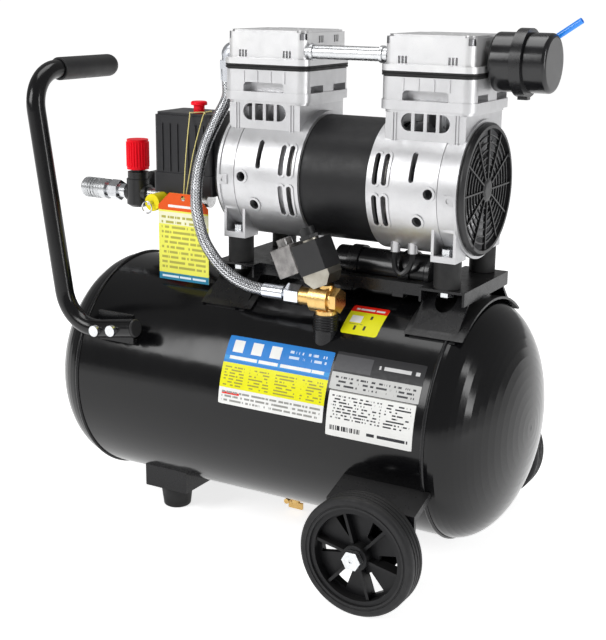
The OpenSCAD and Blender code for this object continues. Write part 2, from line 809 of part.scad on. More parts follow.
module fan() difference() {
    union() {
        xcyl(15, fan_x, fan_x + fan_w);
        for (a = [0 : 40 : 320]) rotate([a, 0, 0]) intersection() {
            translate([fan_x + fan_w / 2, 0, 34]) rotate([0, 0, 40]) cube([1.6, 30, 44], center = true);
            xcyl(57, fan_x + 0.4, fan_x + fan_w - 0.4);
        }
    }
    xcyl(shaft_r, fan_x - 1, fan_x + fan_w + 1);
}

module cooling_fans() place() color("#26282b") for (s = [-1, 1]) motor_end(s) fan();

// The big end is opened wide enough to pass the cam at every angle
module piston(side) place() color("#b8bbc0") motor_end(side) {
    p = piston_top - motor_z;
    difference() {
        xcyl(ring_out, cyl_dx - rod_w / 2, cyl_dx + rod_w / 2);
        xcyl(ring_in, cyl_dx - rod_w, cyl_dx + rod_w);
    }
    difference() {
        block(cyl_dx - rod_w / 2, cyl_dx + rod_w / 2, -7, 7, ring_in, p - piston_t);
        xcyl(ring_in + 1, cyl_dx - rod_w, cyl_dx + rod_w);
    }
    zcyl(bore_r - run_gap, p - piston_t, p, cyl_dx, 0);
}

module piston_left() piston(-1);
module piston_right() piston(1);

// ---- Cylinders and heads

screw_at = [for (i = [-1, 1], j = [-1, 1]) [i * (block_x / 2 - 10), j * (block_y / 2 - 10)]];

module at_cylinder(side) translate([motor_x + side * cyl_dx, 0, 0]) mirror([side < 0 ? 1 : 0, 0, 0])
    children();

module screw_holes(r, z0, z1) for (p = screw_at) zcyl(r, z0, z1, p[0], p[1]);

module cylinder_block() color("#d3d5d8") difference() {
    union() {
        round_box(block_x - 6, block_y - 6, 12, block_z, block_z + 3);
        round_box(block_x, block_y, 12, block_z + 3, block_z + 12);
        round_box(block_x - 2, block_y - 2, 11, block_z + 12, block_top);
        for (s = [-1, 1], e = [-24, -8, 8, 24])
            block(e - 1.5, e + 1.5, s * (block_y / 2 - 1) - 1, s * (block_y / 2 - 1) + 1,
                block_z + 21, block_top - 1);
    }
    zcyl(bore_r, block_z - 1, block_top + 1);
    screw_holes(screw_r, block_top - 14, block_top + 1);
    for (s = [-1, 1]) {
        block(-24, 24, s * block_y / 2 - 14, s * block_y / 2 + 14, block_z + 12, block_z + 17);
        y_bar(-19.5, 19.5, block_z + 17, 4.5, s * block_y / 2 - 14, s * block_y / 2 + 14);
        for (y = [-24, 24]) block(s * block_x / 2 - 12, s * block_x / 2 + 12, y - 13, y + 13,
            block_z + 12, block_z + 19);
    }
}

// A lying slot with round ends, cut along Y
module y_bar(x0, x1, z, r, y0, y1) {
    ycyl(r, y0, y1, x0, z);
    ycyl(r, y0, y1, x1, z);
    block(x0, x1, y0, y1, z - r, z + r);
}

module cylinder_block_left() place() at_cylinder(-1) cylinder_block();
module cylinder_block_right() place() at_cylinder(1) cylinder_block();

module valve_plates() place() color("#1d1e20") for (s = [-1, 1]) at_cylinder(s) difference() {
    union() {
        round_box(block_x - 3, block_y - 3, 10, block_top, block_top + 1);
        round_box(block_x, block_y, 11, block_top + 1, block_top + 3);
        round_box(block_x - 3, block_y - 3, 10, block_top + 3, block_top + 3.5);
        round_box(block_x, block_y, 11, block_top + 3.5, plate_top);
    }
    screw_holes(screw_r, block_top - 1, plate_top + 1);
    for (y = [-14, 14]) zcyl(6, block_top - 1, plate_top + 1, 0, y);
}

module rib_group(x, y, z, n) for (k = [0 : 2]) translate([x, y, z])
    rotate([0, 0, n]) block(3.6 * k - 4.8, 3.6 * k - 2.4, -4, 4, 0, 7);

module cylinder_head(side) color("#dcdee0") difference() {
    union() {
        round_box(block_x, block_y, 11, plate_top, plate_top + base_t);
        round_box(block_x - 7, block_y - 7, 9, plate_top + base_t, top_z - 2);
        round_box(block_x - 10, block_y - 10, 8, top_z - 2, top_z);
    }
    round_box(block_x - 34, block_y - 18, 8, plate_top - 1, top_z - 12);
    screw_holes(screw_r, plate_top - 1, top_z + 1);
    screw_holes(6, top_z - 9, top_z + 1);
    for (s = [-1, 1]) {
        for (x = [-26, 26]) rib_group(x, s * (block_y / 2 - 3.5), plate_top + base_t + 1, 0);
        for (y = [-12, 20]) rib_group(s * (block_x / 2 - 3.5), y, top_z - 12, 90);
        for (y = [-18, 0, 18]) y_bar(-22, 22, top_z, 2.5, y - 1.5, y + 1.5);
    }
    xcyl(bridge_r, -block_x, -block_x / 2 + bridge_in, bridge_y, port_z);
    xcyl(bridge_r - 2, -block_x / 2, -block_x / 2 + 20, bridge_y, port_z);
    if (side > 0) xcyl(neck_r, block_x / 2 - 12, block_x, 0, filter_z);
    if (side < 0) xcyl(5, block_x / 2 - 16, block_x, hose_top_y, port_z);
}

module cylinder_head_left() place() at_cylinder(-1) cylinder_head(-1);
module cylinder_head_right() place() at_cylinder(1) cylinder_head(1);

module head_screws() place() color("#8e9196") for (s = [-1, 1]) at_cylinder(s) for (p = screw_at) {
    zcyl(screw_r, block_top - 14, top_z - 9, p[0], p[1]);
    difference() {
        zcyl(5, top_z - 9, top_z - 3, p[0], p[1]);
        translate([p[0], p[1], top_z - 6]) cylinder(r = 2.9, h = 4, $fn = 6);
    }
}

module head_tube() place() color("#c4c7ca") {
    x0 = motor_x - cyl_dx + block_x / 2 - bridge_in;
    x1 = motor_x + cyl_dx - block_x / 2 + bridge_in;
    difference() {
        union() {
            xcyl(bridge_r, x0, x1, bridge_y, port_z);
            xcyl(bridge_r + 1.5, x0 + bridge_in, x0 + bridge_in + 3, bridge_y, port_z);
            xcyl(bridge_r + 1.5, x1 - bridge_in - 3, x1 - bridge_in, bridge_y, port_z);
        }
        xcyl(bridge_r - 2, x0 - 1, x1 + 1, bridge_y, port_z);
    }
}

// ---- Air filter, measured from the right head's side

filter_mid = 28.5;
filter_lip = 2;

module filter_base() place() color("#141517") {
    m = filter_mid;
    turned_x(filter_x, 0, filter_z) difference() {
        union() {
            translate([0, -14]) square([neck_r, 14]);
            translate([0, 0]) square([filter_r - 3, m]);
            translate([0, 3]) square([filter_r, m - 3]);
            translate([filter_r - 3, 3]) circle(3);
            translate([0, m - 3.5]) square([filter_r + filter_lip, 3.5]);
        }
        translate([-1, 2.5]) square([filter_r - 1.5, m]);
        translate([-1, -15]) square([neck_r - 1, 20]);
        translate([-50, -50]) square([50, 200]);
    }
}

module filter_cover() place() color("#141517") {
    l = filter_len - filter_mid;
    difference() {
        union() {
            turned_x(filter_x + filter_mid, 0, filter_z) difference() {
                union() {
                    square([filter_r - 4, l]);
                    square([filter_r, l - 4]);
                    translate([filter_r - 4, l - 4]) circle(4);
                    square([filter_r + filter_lip, 3.5]);
                }
                translate([-1, -1]) square([filter_r - 1.5, l - 1.5]);
                translate([-50, -50]) square([50, 200]);
            }
            ycyl(4.5, filter_r - 6, tube_start[1] + 5, tube_start[0], tube_start[2] - 2);
        }
        ycyl(2, filter_r - 8, tube_start[1] - 4, tube_start[0], tube_start[2] - 2);
    }
}

module filter_clamp() place() color("#1b1c1e") {
    r = filter_r + filter_lip;
    difference() {
        turned_x(filter_x + filter_mid, 0, filter_z) difference() {
            translate([filter_r, -5.5]) square([filter_lip + 2, 11]);
            translate([filter_r - 1, -3.5]) square([r - filter_r + 1, 7]);
        }
        ycyl(5.5, filter_r - 8, tube_start[1] + 6, tube_start[0], tube_start[2] - 2);
    }
    block(filter_x + filter_mid - 5, filter_x + filter_mid + 5, -4, 4,
        filter_z - r - 4.5, filter_z - r - 1.9);
}

module filter_element() place() color("#cfc8b0") turned_x(filter_x, 0, filter_z)
    translate([12, 2.5]) square([11, filter_len - 5]);

module filter_tube() place() color("#2f8fe0") difference() {
    translate(tube_start) rotate([0, tube_tilt, 0]) difference() {
        cylinder(r = tube_r, h = tube_len);
        translate([0, 0, 12]) cylinder(r = tube_r - 1, h = tube_len);
    }
    ycyl(4.5, filter_r - 6, tube_start[1] + 5, tube_start[0], tube_start[2] - 2);
}

// ---- Capacitor and the motor's lead

module capacitor() place() color("#17181a") {
    xcyl(cap_r, cap_x0, cap_x1, cap_y, cap_z);
    xcyl(cap_r + 1.5, cap_x1, cap_x1 + 6, cap_y, cap_z);
}

// The lead's loop under the motor, from one grommet to the other
lead_route = [[0, 0, 0], [0.5, -3, -9], [4, -5, -18], [10, -5.5, -21], [16, -4, -16], [19, -2, -8],
    [19, 0, 0]];

module motor_lead() place() color("#141416") translate([motor_x + lead_at[0], lead_y, lead_top])
    swept_tube(lead_route, 3, [0, 0, -1], [0, 0, 1], 8, 3);

// ---- Delivery line

hose_top_y = -21;
hose_x = motor_x - cyl_dx - block_x / 2 - 11;
hose_low_x = valve_x - 72;

// The hose's route from the left head round the motor's end to the delivery valve
hose_route = [[hose_x, hose_top_y, port_z - 34], [hose_x, hose_top_y - 1, port_z - 52],
    [-80, -36, 444], [-86, -49, 418], [-88, -61, 388], [-84, -70, 356], [-73, -75, 326],
    [-59, -79, 309], [-43, -82, 296], [-26, -84.5, 287.5], [-8, -85, 282],
    [hose_low_x, valve_y, tee_z]];

module delivery_hose() place() color("#b9bcc0")
    swept_tube(hose_route, hose_r, [0, 0, -1], [1, 0, 0], 10, 4);

module hose_fittings() place() color("#c9ccd0") {
    x0 = motor_x - cyl_dx - block_x / 2;
    xcyl(5, x0, x0 + 14, hose_top_y, port_z);
    xhex(14, hose_x + 8, x0, hose_top_y, port_z);
    translate([hose_x + 8, hose_top_y, port_z - 8]) rotate([90, 0, 0]) rotate([0, 0, 90])
        rotate_extrude(angle = 90) translate([8, 0]) circle(6.5);
    zcyl(6, port_z - 14, port_z - 8, hose_x, hose_top_y);
    translate([hose_x, hose_top_y, port_z - 22]) cylinder(r = 9, h = 9, $fn = 6);
    zcyl(hose_r + 1, port_z - 34, port_z - 22, hose_x, hose_top_y);
    xcyl(hose_r + 1, hose_low_x, valve_x - 48, valve_y, tee_z);
    xcyl(5, valve_x - 48, valve_x - 44, valve_y, tee_z);
    xhex(19, valve_x - 44, valve_x - 28, valve_y, tee_z);
}

module check_valve() place() color("#c8a25a") {
    z = valve_z + socket_up;
    zcyl(socket_r - 4, z - 10, z, valve_x, valve_y);
    zcyl(11, z, z + 4, valve_x, valve_y);
    zcyl(9, z + 4, tee_z, valve_x, valve_y);
    xcyl(9, valve_x - 28, valve_x - 14, valve_y, tee_z);
    xcyl(14, valve_x - 14, valve_x + 6, valve_y, tee_z);
    xcyl(11, valve_x + 6, valve_x + 9, valve_y, tee_z);
    xhex(22, valve_x + 9, valve_x + 16, valve_y, tee_z);
    zcyl(8, tee_z, yoke_z, valve_x, valve_y);
}

module at_unloader() translate([valve_x, valve_y, yoke_z]) rotate([0, -coil_lean, 0]) children();

// The yoke's nose narrows down onto the tee, and its core carries the coil
module unloader_yoke() place() color("#b3b6ba") difference() {
    at_unloader() {
        rotate([90, 0, 0]) linear_extrude(26, center = true)
            polygon([[-8, 0], [8, 0], [15, 9], [15, 15], [-15, 15], [-15, 9]]);
        zcyl(5, 14, 52);
        zcyl(9, 46, 48);
    }
    zcyl(10, tee_z - 20, yoke_z, valve_x, valve_y);
    xcyl(14, valve_x - 20, valve_x + 20, valve_y, tee_z);
}

module unloader_coil() place() color("#1f2023") at_unloader() difference() {
    union() {
        difference() {
            block(-15, 15, -16, 16, 15, 46);
            translate([0, 0, 46]) rotate([45, 0, 0]) block(-16, 16, 13.5, 20, -30, 30);
        }
        translate([0, 0, 48]) cylinder(r = 11, h = 4, $fn = 6);
        zcyl(8, 52, 60);
    }
    zcyl(5, 13, 52);
}

module unloader_plug() place() color([0.75, 0.73, 0.7, 0.6]) at_unloader() {
    block(-17, -15, -12, 12, 22, 44);
    block(-41, -17, -14, 14, 20, 50);
    translate([-29, 0, 50]) cylinder(r = 9, h = 8, $fn = 6);
}

// ---- Pressure switch, regulator and outlet

module manifold() place() color("#c3c5c8") {
    zcyl(socket_r - 4, tank_top - 2, outlet_z - 8, switch_x, 0);
    translate([switch_x, 0, tank_top + 6]) difference() {
        cylinder(r = 12, h = 8, $fn = 6);
        translate([0, 0, -1]) cylinder(r = socket_r - 4, h = 10);
    }
    xcyl(8.8, relief_x - 14, switch_x + 18, 0, outlet_z);
    translate([switch_x, 0, outlet_z]) cylinder(r = 8, h = 9);
    xhex(18, relief_x - 22, relief_x - 14, 0, outlet_z);
    xcyl(7, regulator_x + 15, relief_x - 22, 0, outlet_z);
    ycyl(8, -14, 0, relief_x, outlet_z);
}

module switch_cover() place() color("#222326") {
    w = switch_w;
    d = switch_d;
    difference() {
        translate([switch_x, 0, 0]) {
            difference() {
                round_box(w, d, 5, switch_z, cover_z);
                translate([0, 0, -1]) round_box(w - 8, d - 8, 3, switch_z + 5, cover_z + 2);
            }
            difference() {
                union() {
                    round_box(w, d, 5, cover_z, cover_z + 10);
                    round_box(w - 3, d - 3, 5, cover_z + 10, cover_z + switch_h - 3);
                    round_box(w - 7, d - 7, 4, cover_z + switch_h - 3, cover_z + switch_h);
                    for (s = [-1, 1], e = [-27, -17, -7, 7, 17, 27])
                        block(e - 1, e + 1, s * (d / 2 - 1.5) - 1.2, s * (d / 2 - 1.5) + 1.2,
                            cover_z + 12, cover_z + switch_h - 12);
                }
                round_box(w - 10, d - 10, 3, cover_z - 1, cover_z + switch_h - 4);
            }
            for (y = [-13, 13]) difference() {
                union() {
                    xcyl(8, w / 2, w / 2 + 5, y, switch_z + 7);
                    xhex(15, w / 2 + 5, w / 2 + 12, y, switch_z + 7);
                }
                xcyl(4, w / 2 - 6, w / 2 + 13, y, switch_z + 7);
            }
        }
        zcyl(6 + run_gap, cover_z + switch_h - 10, cover_z + switch_h + 10, button_x, button_y);
    }
}

module switch_button() place() color("#d02f2f") {
    z = cover_z + switch_h;
    translate([button_x, button_y, 0]) rotate_extrude() polygon([[0, z - 12], [6, z - 12], [6, z + 8],
        [9, z + 8.5], [9, z + 11], [8, z + 12.5], [0, z + 12.5]]);
}

module regulator_body() place() color("#1f2022") {
    x = regulator_x;
    zcyl(knob_r, outlet_z - 13, outlet_z + 16, x, 0);
    translate([x, 0, outlet_z - 16]) cylinder(r1 = 9, r2 = knob_r, h = 3);
    xcyl(10, x + 8, x + 15, 0, outlet_z);
    xcyl(10, coupler_x, x - 8, 0, outlet_z);
    zcyl(knob_r - 1.5, outlet_z + 16, outlet_z + 24, x, 0);
    zcyl(8, outlet_z + 24, outlet_z + 48, x, 0);
    ycyl(5, 8, 24, x, outlet_z);
}

module pressure_gauge() place() color("#2a2b2e") difference() {
    ycyl(gauge_r, 24, 42, regulator_x, outlet_z);
    ycyl(gauge_r - 2.5, 38, 43, regulator_x, outlet_z);
}

module regulator_knob() place() color("#c8202c") difference() {
    z = outlet_z + 27;
    union() {
        zcyl(knob_r - 0.8, z, z + 3, regulator_x, 0);
        zcyl(knob_r - 1.2, z + 3, z + 34, regulator_x, 0);
        for (a = [0 : 15 : 345]) translate([regulator_x, 0, z + 3]) rotate([0, 0, a])
            translate([knob_r - 1.4, 0, 0]) cylinder(r = 1.2, h = 28, $fn = 16);
    }
    zcyl(8 + run_gap, z - 1, outlet_z + 48.5, regulator_x, 0);
}

module coupler_body() place() color("#bfc2c6") difference() {
    union() {
        xcyl(8, coupler_x - 11, coupler_x, 0, outlet_z);
        xhex(21, coupler_x - 23, coupler_x - 11, 0, outlet_z);
        xcyl(8.5, coupler_tip + 1.5, coupler_x - 23, 0, outlet_z);
        xcyl(10, coupler_tip, coupler_tip + 1.5, 0, outlet_z);
    }
    xcyl(outlet_r, coupler_tip - 1, coupler_tip + 26, 0, outlet_z);
}

module coupler_sleeve() place() color("#cfd2d6") difference() {
    x0 = coupler_tip + 1.5 + 0.3;
    x1 = coupler_x - 23 - sleeve_travel - 0.3;
    union() {
        xcyl(11.5, x0, x1, 0, outlet_z);
    }
    xcyl(8.5 + run_gap, x0 - 1, x1 + 1, 0, outlet_z);
    for (k = [0 : 2]) translate([x0 + 8 + 4 * k, 0, outlet_z]) difference() {
        xcyl(12, 0, 1.5);
        xcyl(10.8, -1, 3);
    }
}

module relief_valve() place() color("#d8b42a") difference() {
    union() {
        ycyl(6, -30, -14, relief_x, outlet_z);
        translate([relief_x, -18, outlet_z]) rotate([90, 0, 0]) cylinder(r = 9, h = 8, $fn = 6);
        ycyl(9.5, -50, -30, relief_x, outlet_z);
    }
    ycyl(2 + run_gap, -51, -36, relief_x, outlet_z);
}

module relief_ring() place() color("#c9ccd0") {
    ycyl(2, -56, -40, relief_x, outlet_z);
    translate([relief_x - 4, -54, outlet_z - 5]) rotate([90, 0, 0]) rotate_extrude()
        translate([6.4, 0]) circle(0.8, $fn = 24);
}

module hang_tag() place() color("#f2e96b") translate([0, tag_y, 0]) rotate([90, 0, 0])
    linear_extrude(tag_t) difference() {
        polygon([[tag_x0, tag_z0], [tag_x1, tag_z0], [tag_x1, tag_z1 - 14], [tag_x1 - 15, tag_z1],
            [tag_x0 + 15, tag_z1], [tag_x0, tag_z1 - 14]]);
        translate([tag_x, tag_hole_z]) circle(2.8);
    }

// A loop of string round the button's neck, over the switch's front edge and through the tag's hole
string_z = cover_z + switch_h + 1.2;
string_half = [[1, tag_y - tag_t - 1, tag_hole_z], [1, tag_y + 1.5, tag_hole_z + 0.3],
    [1.6, tag_y + 3.5, tag_hole_z + 4], [4.5, (tag_y - switch_d / 2) / 2 - 1, string_z - 42],
    [8.5, -switch_d / 2 - 1.5, string_z - 3], [9, -switch_d / 2 + 2, string_z],
    [button_x - tag_x + 7.5, button_y - 2, string_z]];
string_route = concat([for (p = string_half) [tag_x - p[0], p[1], p[2]]],
    [[tag_x - 2, button_y + 7.5, string_z], [tag_x + 2, button_y + 7.5, string_z]],
    [for (i = [len(string_half) - 1 : -1 : 0]) let (p = string_half[i]) [tag_x + p[0], p[1], p[2]]]);

module tag_string() place() color("#d9c98a")
    swept_tube(string_route, string_r, [0, 1, 0], [0, -1, 0], 6, 3);

tank_shell();
tank_heads();
tank_weldments();
drain_valve();
drain_knob();
rubber_feet();
wheel_hub_front();
wheel_hub_back();
tyre_front();
tyre_back();
fasteners();
mount_frame();
rubber_mounts();
handle_tube();
handle_grip();
motor_case_left();
motor_case_right();
end_cover_left();
end_cover_right();
fan_grilles();
stator_core();
stator_windings();
shaft_bearings();
crankshaft();
rotor();
cooling_fans();
piston_left();
piston_right();
cylinder_block_left();
cylinder_block_right();
valve_plates();
cylinder_head_left();
cylinder_head_right();
head_screws();
head_tube();
filter_base();
filter_cover();
filter_clamp();
filter_element();
filter_tube();
capacitor();
motor_lead();
delivery_hose();
hose_fittings();
check_valve();
unloader_coil();
unloader_yoke();
unloader_plug();
manifold();
switch_cover();
switch_button();
regulator_body();
regulator_knob();
pressure_gauge();
coupler_body();
coupler_sleeve();
relief_valve();
relief_ring();
hang_tag();
tag_string();
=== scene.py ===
import json
import math

import bmesh
import bpy
from mathutils import Matrix, Vector


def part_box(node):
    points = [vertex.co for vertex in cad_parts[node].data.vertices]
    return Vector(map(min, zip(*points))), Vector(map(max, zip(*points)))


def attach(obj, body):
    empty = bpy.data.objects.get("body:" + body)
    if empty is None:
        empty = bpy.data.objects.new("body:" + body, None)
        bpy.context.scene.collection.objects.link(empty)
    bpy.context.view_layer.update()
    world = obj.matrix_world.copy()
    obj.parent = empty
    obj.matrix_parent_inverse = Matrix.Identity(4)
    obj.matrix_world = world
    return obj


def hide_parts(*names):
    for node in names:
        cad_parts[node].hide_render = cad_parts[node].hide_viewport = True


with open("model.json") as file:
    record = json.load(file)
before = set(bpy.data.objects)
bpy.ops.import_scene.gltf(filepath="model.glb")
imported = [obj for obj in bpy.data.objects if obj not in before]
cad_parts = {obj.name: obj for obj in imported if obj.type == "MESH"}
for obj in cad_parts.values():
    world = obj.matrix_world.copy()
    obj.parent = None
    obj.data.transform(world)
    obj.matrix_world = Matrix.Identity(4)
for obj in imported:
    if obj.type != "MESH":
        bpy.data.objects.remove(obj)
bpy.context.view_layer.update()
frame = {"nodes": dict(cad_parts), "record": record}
cadNodes = frame["nodes"]
record = frame["record"]
bodyOf = {node: body for body, members in record["behaviour"]["bodies"].items() for node in members}
slotOf = {part["node"]: part["material_slot"] for part in record["subparts"]}
mm = 0.001
print("frame loaded:", len(cadNodes), "nodes")


def boxOf(node):
    low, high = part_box(node)
    return low, high, (low + high) / 2


tankLow, tankHigh, tankMid = boxOf("tank_shell")
tankRadius = (tankHigh.z - tankLow.z) / 2


def addCamera():
    view = {"place": (0.6573, -1.1380, 0.5809), "turn": 29.7, "down": 15.1, "roll": 0.6, "lens": 69.83,
            "shiftX": -0.0017, "shiftY": 0.0019, "farthest": 900}  # place and farthest in metres
    camera = bpy.data.cameras.new("camera")
    camera.lens = view["lens"]
    camera.shift_x = view["shiftX"]
    camera.shift_y = view["shiftY"]
    camera.clip_end = view["farthest"]
    holder = bpy.data.objects.new("camera", camera)
    holder.matrix_world = (Matrix.Translation(view["place"])
                           @ Matrix.Rotation(math.radians(view["turn"]), 4, "Z")
                           @ Matrix.Rotation(math.radians(90 - view["down"]), 4, "X")
                           @ Matrix.Rotation(math.radians(view["roll"]), 4, "Z"))
    bpy.context.scene.collection.objects.link(holder)
    bpy.context.scene.camera = holder


def addSoftBox(name, place, size, power, target=(0, 0, 0.25)):
    lamp = bpy.data.lights.new(name, "AREA")
    lamp.shape = "RECTANGLE"
    lamp.size, lamp.size_y = size
    lamp.energy = power
    holder = bpy.data.objects.new(name, lamp)
    holder.location = place
    toward = Vector(target) - Vector(place)
    holder.rotation_euler = toward.to_track_quat("-Z", "Y").to_euler()
    bpy.context.scene.collection.objects.link(holder)


def addStudio():
    studio = {"air": 0.32, "floorGlow": 0.76, "floorTone": 0.90, "floorReach": 600,
              "lamps": [("keyBox", (-0.95, -1.7, 1.35), (0.9, 0.9), 20),
                        ("topBox", (-0.2, 0.1, 1.9), (1.3, 0.7), 11),
                        ("sideStrip", (1.5, -0.25, 0.75), (0.25, 1.0), 7)]}  # name, place, size and watts
    world = bpy.data.worlds.new("studio")
    world.use_nodes = True
    world.node_tree.nodes["Background"].inputs[0].default_value = (1, 1, 1, 1)
    world.node_tree.nodes["Background"].inputs[1].default_value = studio["air"]
    bpy.context.scene.world = world
    bpy.context.scene.view_settings.view_transform = "Standard"
    for lamp in studio["lamps"]:
        addSoftBox(*lamp)

    floorMaterial, tree, shader = newGraph("floorPaper")
    shader.inputs["Base Color"].default_value = rgba((studio["floorTone"],) * 3)
    shader.inputs["Roughness"].default_value = 0.7
    shader.inputs["Emission Color"].default_value = (1, 1, 1, 1)
    shader.inputs["Emission Strength"].default_value = studio["floorGlow"]
    mesh = bpy.data.meshes.new("floor")
    reach = studio["floorReach"]
    corners = [(-reach, -reach, 0), (reach, -reach, 0), (reach, reach, 0), (-reach, reach, 0)]
    mesh.from_pydata(corners, [], [(0, 1, 2, 3)])
    mesh.materials.append(floorMaterial)
    floor = bpy.data.objects.new("floor", mesh)
    bpy.context.scene.collection.objects.link(floor)
    print("camera, floor and lamps:", len(studio["lamps"]))


def newGraph(name):
    material = bpy.data.materials.new(name)
    material.use_nodes = True
    tree = material.node_tree
    tree.nodes.clear()
    shader = tree.nodes.new("ShaderNodeBsdfPrincipled")
    output = tree.nodes.new("ShaderNodeOutputMaterial")
    tree.links.new(shader.outputs[0], output.inputs[0])
    return material, tree, shader


def feed(tree, socket, value):
    if isinstance(value, bpy.types.NodeSocket):
        tree.links.new(value, socket)
    else:
        socket.default_value = value


def addNode(tree, kind, inputs, **settings):
    made = tree.nodes.new("ShaderNode" + kind)
    for key, value in settings.items():
        setattr(made, key, value)
    for key, value in inputs.items():
        feed(tree, made.inputs[key], value)
    return made


def calc(tree, operation, a, b=0.0, c=0.0):
    return addNode(tree, "Math", {0: a, 1: b, 2: c}, operation=operation).outputs[0]


def remap(tree, value, low, high, newLow=0.0, newHigh=1.0):
    return addNode(tree, "MapRange", {0: value, 1: low, 2: high, 3: newLow, 4: newHigh}).outputs[0]


def mixColor(tree, factor, a, b, mode="MIX"):
    made = addNode(tree, "Mix", {0: factor, 6: a, 7: b}, data_type="RGBA", blend_type=mode)
    return made.outputs[2]


def objectPlace(tree, stretch=None):
    place = addNode(tree, "TexCoord", {}).outputs["Object"]
    if stretch:
        place = addNode(tree, "Mapping", {"Vector": place, "Scale": stretch}).outputs[0]
    return place


def noise(tree, place, scale, detail=3.0, rough=0.55):
    made = addNode(tree, "TexNoise", {"Vector": place, "Scale": scale, "Detail": detail, "Roughness": rough})
    return made.outputs[0]


def rgba(color):
    return (*color, 1.0)


# A finish: base colour with soft patches, fine grain in the bump, dust on what faces up.
# grains holds (scale per metre, depth in mm, stretch), and a stretch draws the grain out into lines.
# gloss is the reflection of a bare surface, coat a clear layer over it, and clear lets light through
def makeFinish(name, color, tint=None, patch=18, rough=(0.3, 0.5), metal=0.0, coat=0.0, coatRough=0.1,
               grains=((900, 0.01, None),), dust=0.0, speck=0.0, clear=0.0, sheen=0.0, gloss=0.5):
    material, tree, shader = newGraph(name)
    place = objectPlace(tree)
    patches = remap(tree, noise(tree, place, patch, 4), 0.3, 0.7)
    base = mixColor(tree, patches, rgba(color), rgba(tint or color))
    roughness = remap(tree, noise(tree, place, patch * 6, 3), 0.3, 0.7, rough[0], rough[1])
    if speck:
        darker = 0.35
        specks = remap(tree, noise(tree, place, 1600, 2), 0.62, 0.72, 0, speck)
        base = mixColor(tree, specks, base, rgba(tuple(darker * c for c in color)))
    if dust:
        facing = addNode(tree, "SeparateXYZ", {0: addNode(tree, "NewGeometry", {}).outputs["Normal"]}).outputs[2]
        amount = calc(tree, "MULTIPLY", remap(tree, facing, 0.55, 1.0), remap(tree, patches, 0.2, 1, 0.3, dust))
        dustColor, dustRough = (0.32, 0.31, 0.29), 0.25
        base = mixColor(tree, calc(tree, "MULTIPLY", amount, dust), base, rgba(dustColor))
        roughness = calc(tree, "MULTIPLY_ADD", amount, dustRough, roughness)
    feed(tree, shader.inputs["Base Color"], base)
    feed(tree, shader.inputs["Roughness"], roughness)
    shader.inputs["Metallic"].default_value = metal
    shader.inputs["Coat Weight"].default_value = coat
    shader.inputs["Coat Roughness"].default_value = coatRough
    shader.inputs["Transmission Weight"].default_value = clear
    shader.inputs["Sheen Weight"].default_value = sheen
    shader.inputs["Specular IOR Level"].default_value = gloss
    normal = None
    for scale, depth, stretch in grains:
        height = noise(tree, objectPlace(tree, stretch) if stretch else place, scale, 3)
        bump = addNode(tree, "Bump", {"Height": height, "Distance": depth * mm, "Strength": 1.0})
        if normal:
            tree.links.new(normal, bump.inputs["Normal"])
        normal = bump.outputs[0]
    if normal:
        tree.links.new(normal, shader.inputs["Normal"])
    return material


